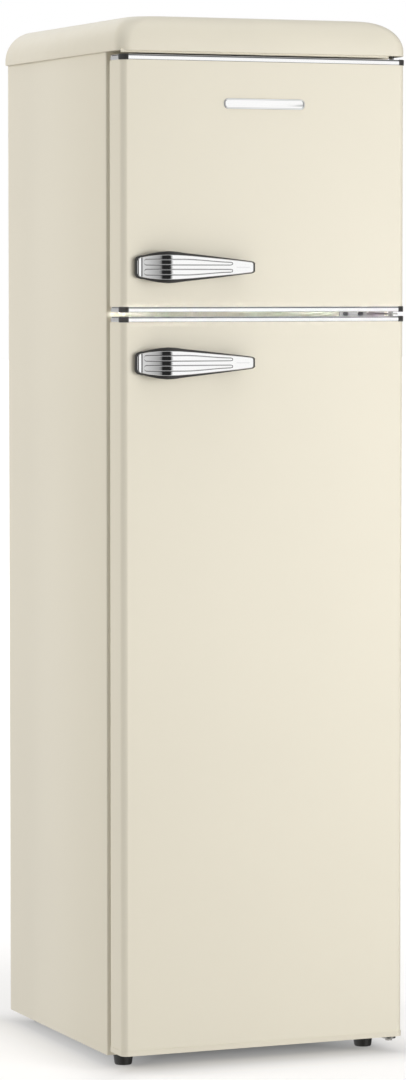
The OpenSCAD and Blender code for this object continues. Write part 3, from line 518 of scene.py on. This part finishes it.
for prefix, (z0, z1) in (("freezer", FREEZER_DOOR), ("fridge", FRIDGE_DOOR)):
    door_skin(prefix + "_door_skin", z0 + STRIP_H, z1 - STRIP_H, prefix + "_door", prefix + "_door_panel")


# the strip's section: (how far it lies behind the door's face, height above its lower edge)
STRIP = [(2.2, 0.05), (0.9, 0.05), (0.3, 0.15), (-0.1, 0.4), (-0.4, 0.8), (-0.6, 1.3), (-0.72, 1.9),
         (-0.78, 2.8), (-0.8, 4.0), (-0.79, 5.0), (-0.74, 5.8), (-0.60, 6.35), (-0.35, 6.7), (0.1, 6.85),
         (0.9, 6.9), (0.9, 8.3), (0.4, 8.35), (0.1, 8.45), (0.0, 8.65), (0.05, 8.85), (0.2, 8.95),
         (2.2, 8.95)]
STRIP_GROOVE = (13, 14, 15)     # sides of that section that get painted shade, a dark material in the groove


def strip(m, z0):
    """Bright half-round strip round a door's end, with a groove along its upper edge that gets painted shade.
    """
    paths = [door_path(g, DOOR_BACK - 6) for g, z in STRIP]
    m.rings([[(*path[i], z0 + z) for path, (g, z) in zip(paths, STRIP)] for i in range(len(paths[0]))])


def in_groove(i):
    """Whether a strip's face with this index lies in the groove and gets painted shade; the last two of each
    strip are its ends.
    """
    sides = (len(door_path(0, DOOR_BACK)) - 1) * len(STRIP)
    i %= sides + 2
    return i < sides and i % len(STRIP) in STRIP_GROOVE


# painted shade in the strips' grooves
groove = (MATS["groove_shade"], in_groove)
m = Mesh()
strip(m, FREEZER_DOOR[0])
strip(m, FREEZER_DOOR[1] - STRIP_H)
m.done("freezer_chrome_strips", MATS["chrome"], "freezer_door", "chrome", ["freezer_strips"], second=groove)
m = Mesh()
strip(m, FRIDGE_DOOR[1] - STRIP_H)
m.done("fridge_chrome_strip", MATS["chrome"], "fridge_door", "chrome", ["fridge_strip"], second=groove)


def corner_clips(m, z0):
    """Two black clips that wrap the strip round the door's front corners."""
    lo, hi = z0 - 0.25, z0 + STRIP_H + 0.25
    section = [(1.5, lo), (-0.9, lo), (-1.35, lo + 0.7), (-1.5, lo + 2.2),
               (-1.5, hi - 2.2), (-1.35, hi - 0.7), (-0.9, hi), (1.5, hi)]
    for side in (1, -1):
        paths = []
        for g, z in section:
            path = door_corner(g)
            path = [(path[0][0], path[0][1] + 0.8), *path, (path[-1][0] + 0.6, path[-1][1])]
            paths.append([(side * px, py, z) for px, py in path])
        m.rings([[path[i] for path in paths] for i in range(len(paths[0]))])


for prefix, levels, body in (("freezer", (FREEZER_DOOR[0], FREEZER_DOOR[1] - STRIP_H), "freezer_door"),
                             ("fridge", (FRIDGE_DOOR[1] - STRIP_H,), "fridge_door")):
    m = Mesh()
    for level in levels:
        corner_clips(m, level)
    m.done(prefix + "_corner_clips", MATS["black_plastic"], body, "black_plastic", angle=25)


def gasket(name, z0, z1, body, node):
    """Magnetic gasket: dart, bellows and magnet head, swept round the door with round corners."""
    x = DOOR_X - 11.0
    a, b = z0 + 10.0, z1 - 10.0
    # (distance inward from the outer edge, y)
    profile = [(0.0, -0.6), (0.35, -0.4), (14.4, -0.4), (14.9, -0.9), (14.6, -4.8), (13.0, -5.6),
               (10.5, -6.6), (12.6, -8.4), (12.8, -9.6), (10.6, -11.4), (12.9, -13.2), (12.9, -14.9),
               (2.2, -14.9), (2.1, -13.3), (4.6, -11.4), (2.2, -9.6), (2.3, -8.4), (4.6, -6.6),
               (2.4, -5.6), (0.4, -4.6)]
    paths = [rounded(-x + g, a + g, x - g, b - g, max(16.5 - g, 0.6), 8) for g, y in profile]
    rings = [[(px, y, pz) for (px, pz), (g, y) in zip(points, profile)] for points in zip(*paths)]
    Mesh().loop(rings).done(name, MATS["gasket_rubber"], body, "gasket_rubber", [node], angle=28)


gasket("freezer_bellows", *FREEZER_DOOR, "freezer_door", "freezer_gasket")
gasket("fridge_bellows", *FRIDGE_DOOR, "fridge_door", "fridge_gasket")

# ---------- handles ----------

# bend of the handle seen from above: (distance along it, direction of its face from -y in degrees)
HANDLE_BEND = [(0, 2), (10, 1), (10.4, -45), (14, -44), (45, -32), (58, -9), (70, 0), (215, 3)]
HANDLE_START = (-238.0, -81.1)
HANDLE_LEN = HANDLE_BEND[-1][0]
CURVE_STEP = 0.5


def table_at(table, s):
    """Value at s in a table of (position, value), straight between its entries."""
    for (s0, v0), (s1, v1) in zip(table, table[1:]):
        if s <= s1:
            return lerp(v0, v1, (s - s0) / (s1 - s0))
    return table[-1][1]


def handle_curve():
    """Points (x, y, face angle) every half millimetre along the handle's face."""
    x, y = HANDLE_START
    out = []
    for i in range(int(HANDLE_LEN / CURVE_STEP) + 1):
        a = math.radians(table_at(HANDLE_BEND, i * CURVE_STEP))
        out.append((x, y, a))
        x += CURVE_STEP * math.cos(a)
        y += CURVE_STEP * math.sin(a)
    return out


CURVE = handle_curve()


def on_handle(s, z, depth):
    """Point at a distance along the handle, at a height, a depth behind its face."""
    i = max(0, min(len(CURVE) - 1, int(round(s / CURVE_STEP))))
    x, y, a = CURVE[i]
    extra = s - i * CURVE_STEP
    return (x + extra * math.cos(a) - depth * math.sin(a), y + extra * math.sin(a) + depth * math.cos(a), z)


# half heights of the frame and of the plate: (distance along the handle, half height)
OUTER_H = [(0, 14.0), (3, 17.5), (10, 19.6), (22, 22.4), (40, 25.6), (56, 26.7), (70, 26.0), (90, 23.4),
           (130, 19.2), (180, 13.6), (209, 10.4), (213, 9.4), (215, 7.6)]
INNER_H = [(3.0, 11.0), (5.5, 14.8), (9, 16.6), (22, 19.0), (40, 20.6), (56, 21.0), (74, 20.6), (100, 19.0),
           (130, 16.4), (180, 11.9), (208, 9.0), (211.5, 7.4), (212.4, 5.6)]
PLATE = (3.0, 212.4)        # where the chrome plate starts and ends along the handle
RIBS = (14.0, 173.0)        # where the two raised ribs start and end
LINES = (176.0, 208.0)      # and the fine lines beyond them


def rib_breaks(s):
    """Heights above the middle where the plate changes: rib grooves at their edges, then the plate's edge."""
    reach = smooth((s - 84) / 90)
    centre, half, groove = lerp(8.3, 5.9, reach), lerp(4.9, 2.4, reach), 0.6
    end = max(0.0, min((s - RIBS[0]) / 4.5, (RIBS[1] - s) / 4.5, 1.0))
    half *= math.sqrt(1 - (1 - end) ** 2)
    groove = min(groove, half * 0.8)
    h = table_at(INNER_H, s)
    low, high = centre - half, centre + half
    return [0.0, low - groove, low + groove, high - groove, high + groove,
            max(h - 1.6, high + groove + 0.3), h]


CELLS = [5, 6, 14, 6, 6, 5]     # grid cells between those heights
GROOVES = (1, 3)


def plate_section(s):
    """Half a section of the chrome plate from its middle to its edge: (height, depth) points and zones."""
    breaks = rib_breaks(s)
    ribs = RIBS[0] < s < RIBS[1]
    out = []
    zones = []
    for zone, n in enumerate(CELLS):
        a, b = breaks[zone], breaks[zone + 1]
        for i in range(n + (zone == len(CELLS) - 1)):
            t = i / n
            z = lerp(a, b, t)
            depth = 0.35 * (z / breaks[-1]) ** 5
            if zone in GROOVES and ribs:
                depth += 1.1 * math.sin(math.pi * t) * min(1.0, (b - a) / 1.2)
            elif zone == 2 and ribs:
                depth -= 0.9 * max(0.0, 1 - abs(2 * t - 1) ** 6) ** 0.5 * min(1.0, (b - a) / 5)
            elif zone == 0 and ribs:
                along = 2 * (s - RIBS[0]) / (RIBS[1] - RIBS[0]) - 1
                depth -= 0.25 * (1 - t * t) * min(1.0, 8 * (1 - abs(along)))
            elif zone == 5:
                depth += 1.6 * (1 - math.sqrt(1 - t * t))
            if LINES[0] < s < LINES[1]:
                fade = smooth((s - LINES[0]) / 3) * smooth((LINES[1] - s) / 3)
                for line in (0.0, 0.46):
                    depth += 0.5 * fade * math.exp(-((z - line * breaks[-1]) / 0.4) ** 2)
            out.append((z, depth))
            zones.append(zone)
    return out, zones


def handle(z_mid, prefix):
    """Ribbed chrome plate on a black frame, with two posts down to the door."""
    body = prefix + "_door"
    # chrome plate: a grid of sections along the handle; the groove bottoms get painted shade
    along = [3.0, 3.3, 4.2, 5.5, 7, 9, 10, 10.7, 11.4, 12.1, 12.8, 13.4, 13.9]
    along += [14.01, 14.08, 14.2, 14.4, 14.7, 15.1, 15.6, 16.2, 16.9, 17.7, 18.5]
    along += [20 + 1.5 * i for i in range(99)]
    along += [168.5, 169.3, 170.1, 170.8, 171.4, 171.9, 172.3, 172.6, 172.8, 172.92, 172.99, 173.1]
    along += [174.5, 176] + [177 + 1.5 * i for i in range(21)] + [208, 209.5, 210.8, 211.7, 212.2, 212.4]
    m = Mesh()
    rings = []
    for s in along:
        half, zones = plate_section(s)
        edge = min(1.0, (s - PLATE[0]) / 2.5, (PLATE[1] - s) / 2.5)
        drop = 1.0 + 1.4 * (1 - math.sqrt(max(0.0, 1 - (1 - edge) ** 2)))
        ring = [on_handle(s, z_mid - z, d + drop) for z, d in reversed(half)]
        ring += [on_handle(s, z_mid + z, d + drop) for z, d in half[1:]]
        top = half[-1][0]
        ring += [on_handle(s, z_mid + top, 5.2), on_handle(s, z_mid - top, 5.2)]
        rings.append(ring)
    m.rings(rings)
    n, cells = len(rings[0]), len(half)
    dark = set()
    for zone in GROOVES:
        first = zones.index(zone)
        for k in (first + 2, first + 3):
            dark.update((cells - 1 + k, cells - 2 - k))
    sides = (len(rings) - 1) * n

    # faces at the groove bottoms, which get the dark material as painted shade
    def painted(i):
        return i < sides and i % n in dark and RIBS[0] + 0.3 < along[i // n] < RIBS[1] - 0.3

    m.done(prefix + "_grip_plate", MATS["chrome"], body, "chrome", [prefix + "_handle"], angle=44,
           second=(MATS["groove_shade"], painted))

    # black frame behind the plate, standing out all round it
    m = Mesh()
    along = [0, 0.4, 1.2, 3, 6, 8, 10, 11, 12, 13, 14, 16] + [19 + 4 * i for i in range(48)]
    along += [209, 211.5, 213.4, 214.4, 215]
    rings = []
    for s in along:
        h = table_at(OUTER_H, s)
        inner = table_at(INNER_H, max(PLATE[0], min(PLATE[1], s)))
        thick = 6.5 + 3.0 * math.exp(-((s - 60) / 40) ** 2)
        half = [(h - 1.6, thick), (h - 0.4, thick - 0.8), (h, 4.6), (h - 0.7, 3.1), (h - 2.0, 2.5),
                (inner + 0.6, 3.0), (inner - 0.8, 3.4)]
        section = [(-z, d) for z, d in reversed(half)] + half
        rings.append([on_handle(s, z_mid + z, d) for z, d in section])
    m.rings(rings)
    for x0, x1, half_h, front in ((-222, -212, 11, -82), (-92, -38, 8.5, -101)):
        outline = rounded(x0, z_mid - half_h, x1, z_mid + half_h, 4, 6)
        flare = rounded(x0 - 1.5, z_mid - half_h - 1.5, x1 + 1.5, z_mid + half_h + 1.5, 5, 6)
        m.rings([[(px, front, pz) for px, pz in outline], [(px, DOOR_FACE - 4, pz) for px, pz in outline],
                 [(px, DOOR_FACE - 1.6, pz) for px, pz in flare], [(px, DOOR_FACE, pz) for px, pz in flare]])
    m.done(prefix + "_grip_frame", MATS["black_plastic"], body, "black_plastic", [prefix + "_handle_base"],
           angle=40)


handle(1352.5, "freezer")
handle(1193.0, "fridge")

# ---------- badge and mullion plug ----------


def front_plate(name, lo, hi, r, n, profile, finish, body, replaced=()):
    """Plate that faces the front, from lo to hi (x, z), its edge shaped by (inset, y) from back to middle."""
    m = Mesh()
    m.rings([[(x, y, z) for x, z in rounded(lo[0] + g, lo[1] + g, hi[0] - g, hi[1] - g, r - g, n)]
             for g, y in profile])
    m.done(name, MATS[finish], body, finish, replaced)


# a plain bright plate with a raised rim, and a plug over the spare hinge hole at the mullion's left end
front_plate("badge_plate", (-76, 1617), (72, 1635), 8, 8,
            ((0, -70.0), (0, -70.9), (0.5, -71.6), (1.2, -71.95), (2.0, -71.9), (2.6, -71.4), (3.0, -71.3)),
            "chrome", "freezer_door", ["badge"])
front_plate("mullion_plug", (-239, 1269.6), (-221, 1277.9), 4.1, 6,
            ((0, 0.4), (0, -0.5), (0.5, -1.2), (1.6, -1.6), (2.6, -1.2), (3.0, -1.0)),
            "cream_plastic", "cabinet")

# ---------- back: pressed panel and its screws ----------

PANEL_LO, PANEL_HI = 235.0, 1713.0
BEAD = (225.0, 269.0, 1679.0, 30.0)     # half width, lower and upper edge, corner radius of the bead's loop
CROSS_BEADS = (1480.0, 1560.0)          # heights of two short beads above the condenser
BEAD_OUT = 2.6
SCREW_X, SCREW_Z, SCREW_PITCH = 247.5, 252.0, 239.0


def bead_height(x, z):
    """How far the panel is pressed out at a point."""
    half, z0, z1, r = BEAD
    dx = max(abs(x) - half + r, 0)
    dz = max(abs(z - (z0 + z1) / 2) - (z1 - z0) / 2 + r, 0)
    inside = min(max(abs(x) - half + r, abs(z - (z0 + z1) / 2) - (z1 - z0) / 2 + r), 0)
    near = abs(math.hypot(dx, dz) + inside - r)
    for level in CROSS_BEADS:
        near = min(near, math.hypot(max(abs(x) - 150, 0), z - level))
    return BEAD_OUT * smooth(1 - near / 8)


def grid_lines(lo, hi, coarse, dense, step):
    """Positions from lo to hi, coarse apart, closer by step inside the dense spans."""
    out = [lo]
    while out[-1] < hi - 0.01:
        at = out[-1]
        width = step if any(a - 0.01 <= at < b for a, b in dense) else coarse
        for a, b in dense:
            if at < a < at + width:
                width = a - at
        out.append(min(hi, at + width))
    return out


def back_panel():
    """Thin sheet with a loop and two short beads pressed out of it."""
    xs = grid_lines(-259.0, 259.0, 14, ((-236, -186), (-160, -138), (138, 160), (186, 236)), 3)
    zs = grid_lines(PANEL_LO, PANEL_HI, 14,
                    ((258, 312), *((level - 9, level + 9) for level in CROSS_BEADS), (1636, 1690)), 3)
    m = Mesh()
    nx = len(xs)
    for z in zs:
        m.verts += [(x, CAB_D + bead_height(x, z), z) for x in xs]
    for z in zs:
        m.verts += [(x, CAB_D - 1.0 + bead_height(x, z), z) for x in xs]
    far = nx * len(zs)
    for j in range(len(zs) - 1):
        for i in range(nx - 1):
            a = j * nx + i
            m.faces.append((a, a + 1, a + nx + 1, a + nx))
            m.faces.append((far + a, far + a + nx, far + a + nx + 1, far + a + 1))
    edge = list(range(nx)) + [j * nx + nx - 1 for j in range(1, len(zs))]
    edge += [(len(zs) - 1) * nx + i for i in range(nx - 2, -1, -1)]
    edge += [j * nx for j in range(len(zs) - 2, 0, -1)]
    for a, b in zip(edge, edge[1:] + edge[:1]):
        m.faces.append((a, b, far + b, far + a))
    m.done("back_panel_pressed", MATS["galvanised"], "cabinet", "galvanised", ["back_panel"], angle=50)


back_panel()

m = Mesh()
for x in (-SCREW_X, SCREW_X):
    for i in range(7):
        at = (x, CAB_D, SCREW_Z + i * SCREW_PITCH)
        m.lathe([(0.5, 0.0), (5.2, 0.0), (5.5, 0.3), (5.3, 0.8), (0.5, 1.0)], at, "y", 28)
        m.lathe([(0.5, 0.7), (3.7, 0.7), (3.75, 3.0), (3.3, 3.7), (2.0, 3.8), (1.8, 3.3), (0.2, 3.2)],
                at, "y", 6)
m.done("back_screws", MATS["zinc_steel"], "cabinet", "zinc_steel", angle=30)

# ---------- CAD nodes that stay: rounded edges and their own materials ----------

NODE_MATS = {part["node"]: part["material_slot"] for part in frame["record"]["subparts"]}
FINISHES = {"hinge_screws": "screw_steel", "middle_hinge": "bright_zinc"}    # darker and brighter plating

for name, obj in NODES.items():
    if obj.hide_render:
        continue
    obj.data.materials.clear()
    obj.data.materials.append(MATS[FINISHES.get(name, NODE_MATS[name])])
    weld = obj.modifiers.new("weld", "WELD")
    weld.merge_threshold = 1e-6
    obj.data.polygons.foreach_set("use_smooth", [True] * len(obj.data.polygons))
    bevel = obj.modifiers.new("soften", "BEVEL")
    caps = name.endswith("_caps")
    bevel.width = 0.0014 if caps else 0.0006
    bevel.segments = 3 if caps else 2
    bevel.limit_method = "ANGLE"
    bevel.angle_limit = math.radians(40)
    bevel.harden_normals = False
    split = obj.modifiers.new("normals", "WEIGHTED_NORMAL")
    split.keep_sharp = True

# ---------- floor, light and camera ----------

scene = bpy.context.scene
FOOTPRINT = (0.265, 0.277)      # half the object's width and depth on the floor, in metres, where the painted shadow lies


def floor():
    """Plain paper that fades into the white background; close to and under the object's footprint its glow is
    cut, a painted soft shadow.
    """
    mesh = bpy.data.meshes.new("floor")
    s = 60.0
    mesh.from_pydata([(-s, -s, 0), (s, -s, 0), (s, s, 0), (-s, s, 0)], [], [(0, 1, 2, 3)])
    obj = bpy.data.objects.new("floor", mesh)
    scene.collection.objects.link(obj)
    mat = bpy.data.materials.new("floor_paper")
    mat.use_nodes = True
    nodes, links = mat.node_tree.nodes, mat.node_tree.links
    shader = nodes["Principled BSDF"]
    shader.inputs["Base Color"].default_value = (0.50, 0.487, 0.474, 1)
    shader.inputs["Roughness"].default_value = 0.9
    shader.inputs["Specular IOR Level"].default_value = 0.0
    shader.inputs["Emission Color"].default_value = (1, 1, 1, 1)
    rays = nodes.new("ShaderNodeLightPath")
    glow = nodes.new("ShaderNodeMapRange")
    glow.inputs["To Min"].default_value = 0.25
    links.new(rays.outputs["Is Camera Ray"], glow.inputs["Value"])
    coords = nodes.new("ShaderNodeTexCoord")
    away = nodes.new("ShaderNodeVectorMath")
    away.operation = "LENGTH"
    links.new(coords.outputs["Object"], away.inputs[0])
    fade = nodes.new("ShaderNodeMapRange")
    fade.interpolation_type = "SMOOTHSTEP"
    fade.inputs["From Min"].default_value = 0.4
    fade.inputs["From Max"].default_value = 3.5
    fade.inputs["To Min"].default_value = 0.58
    fade.inputs["To Max"].default_value = 1.1
    links.new(away.outputs["Value"], fade.inputs["Value"])
    # how far a point lies outside the object's footprint: the paper glows less close to it and under it, a
    # painted shadow
    split = nodes.new("ShaderNodeSeparateXYZ")
    links.new(coords.outputs["Object"], split.inputs["Vector"])
    outside = nodes.new("ShaderNodeMath")
    outside.operation = "MAXIMUM"
    for i, (axis, half) in enumerate(zip("XY", FOOTPRINT)):
        size = nodes.new("ShaderNodeMath")
        size.operation = "ABSOLUTE"
        links.new(split.outputs[axis], size.inputs[0])
        beyond = nodes.new("ShaderNodeMath")
        beyond.operation = "SUBTRACT"
        links.new(size.outputs["Value"], beyond.inputs[0])
        beyond.inputs[1].default_value = half
        links.new(beyond.outputs["Value"], outside.inputs[i])
    near = nodes.new("ShaderNodeMapRange")
    near.interpolation_type = "SMOOTHSTEP"
    near.inputs["From Min"].default_value = -0.20
    near.inputs["From Max"].default_value = 0.12
    links.new(outside.outputs["Value"], near.inputs["Value"])
    product = nodes.new("ShaderNodeMath")
    product.operation = "MULTIPLY"
    links.new(fade.outputs["Result"], product.inputs[0])
    links.new(near.outputs["Result"], product.inputs[1])
    links.new(product.outputs["Value"], glow.inputs["To Max"])
    links.new(glow.outputs["Result"], shader.inputs["Emission Strength"])
    mesh.materials.append(mat)
    obj.visible_glossy = False


floor()


def world():
    """White walls behind and to the right, dim to the left front, darker overhead."""
    w = bpy.data.worlds.new("studio")
    scene.world = w
    w.use_nodes = True
    nt = w.node_tree
    nodes, links = nt.nodes, nt.links
    back = nodes["Background"]
    coords = nodes.new("ShaderNodeTexCoord")
    split = nodes.new("ShaderNodeSeparateXYZ")
    links.new(coords.outputs["Generated"], split.inputs["Vector"])
    turn = nodes.new("ShaderNodeMath")
    turn.operation = "ARCTAN2"
    links.new(split.outputs["X"], turn.inputs[0])
    flip = nodes.new("ShaderNodeMath")
    flip.operation = "MULTIPLY"
    flip.inputs[1].default_value = -1
    links.new(split.outputs["Y"], flip.inputs[0])
    links.new(flip.outputs["Value"], turn.inputs[1])
    # azimuth from -180 to 180, 0 in front of the object and positive to its right
    span = nodes.new("ShaderNodeMapRange")
    span.inputs["From Min"].default_value = -math.pi
    span.inputs["From Max"].default_value = math.pi
    links.new(turn.outputs["Value"], span.inputs["Value"])
    ramp = nodes.new("ShaderNodeValToRGB")
    links.new(span.outputs["Result"], ramp.inputs["Fac"])
    # (azimuth, brightness)
    stops = [(-180, 0.9), (-170, 0.75), (-160, 0.5), (-150, 0.5), (-136, 0.85), (-95, 0.8),
             (-62, 0.62), (-46, 0.36), (-40, 0.02), (7, 0.02), (13, 1.0), (44, 1.0), (52, 0.10),
             (140, 0.10), (158, 0.85), (180, 0.9)]
    elements = ramp.color_ramp.elements
    while len(elements) < len(stops):
        elements.new(0.5)
    for element, (azimuth, value) in zip(elements, stops):
        element.position = (azimuth + 180) / 360
        element.color = (value, value, value, 1)
    up = nodes.new("ShaderNodeMapRange")
    up.interpolation_type = "SMOOTHSTEP"
    up.inputs["From Min"].default_value = 0.40
    up.inputs["From Max"].default_value = 0.85
    slope = nodes.new("ShaderNodeMath")
    slope.operation = "ABSOLUTE"
    links.new(split.outputs["Z"], slope.inputs[0])
    links.new(slope.outputs["Value"], up.inputs["Value"])
    mix = nodes.new("ShaderNodeMix")
    mix.data_type = "RGBA"
    links.new(up.outputs["Result"], mix.inputs["Factor"])
    links.new(ramp.outputs["Color"], mix.inputs["A"])
    mix.inputs["B"].default_value = (0.48, 0.48, 0.48, 1)
    rays = nodes.new("ShaderNodeLightPath")
    seen = nodes.new("ShaderNodeMix")
    seen.data_type = "RGBA"
    links.new(rays.outputs["Is Camera Ray"], seen.inputs["Factor"])
    links.new(mix.outputs["Result"], seen.inputs["A"])
    seen.inputs["B"].default_value = (1, 1, 1, 1)
    links.new(seen.outputs["Result"], back.inputs["Color"])
    back.inputs["Strength"].default_value = 1.0


world()


def softbox(name, azimuth, distance, height, width, tall, watts, aim=0.95, spread=180, colour=(1, 1, 1)):
    """Area light aimed at a point on the object's upright axis; spread is its beam's angle."""
    light = bpy.data.lights.new(name, "AREA")
    light.shape = "RECTANGLE"
    light.size = width
    light.size_y = tall
    light.energy = watts
    light.spread = math.radians(spread)
    light.color = colour
    obj = bpy.data.objects.new(name, light)
    scene.collection.objects.link(obj)
    a = math.radians(azimuth)
    obj.location = (distance * math.sin(a), -distance * math.cos(a), height)
    obj.visible_glossy = False
    obj.rotation_euler = (Vector((0, 0, aim)) - obj.location).to_track_quat("-Z", "Y").to_euler()


softbox("key_light", 30, 2.7, 1.15, 1.4, 1.9, 19.5)
softbox("fill_light", 20, 3.0, 1.274, 2.2, 0.2, 22)
softbox("gap_beam", 20, 0.9, 1.274, 1.1, 0.012, 0.07, aim=1.274, spread=3)
softbox("left_light", -124, 4.2, 1.9, 2.0, 2.0, 21, aim=1.2, spread=100, colour=(1.0, 0.965, 0.90))
softbox("top_light", 0, 0.3, 4.3, 2.4, 2.4, 30)

camera = bpy.data.cameras.new("camera")
camera.sensor_width = 36
camera.lens = 137.93
camera.clip_end = 200
rig = bpy.data.objects.new("camera", camera)
scene.collection.objects.link(rig)
rig.location = (-2.762, -6.6865, 1.327)
yaw, pitch = math.radians(22.45), math.radians(-3.56)      # turned to the right and tilted down
look = Vector((math.sin(yaw) * math.cos(pitch), math.cos(yaw) * math.cos(pitch), math.sin(pitch)))
rig.rotation_euler = look.to_track_quat("-Z", "Y").to_euler()
scene.camera = rig
scene.view_settings.view_transform = "Standard"
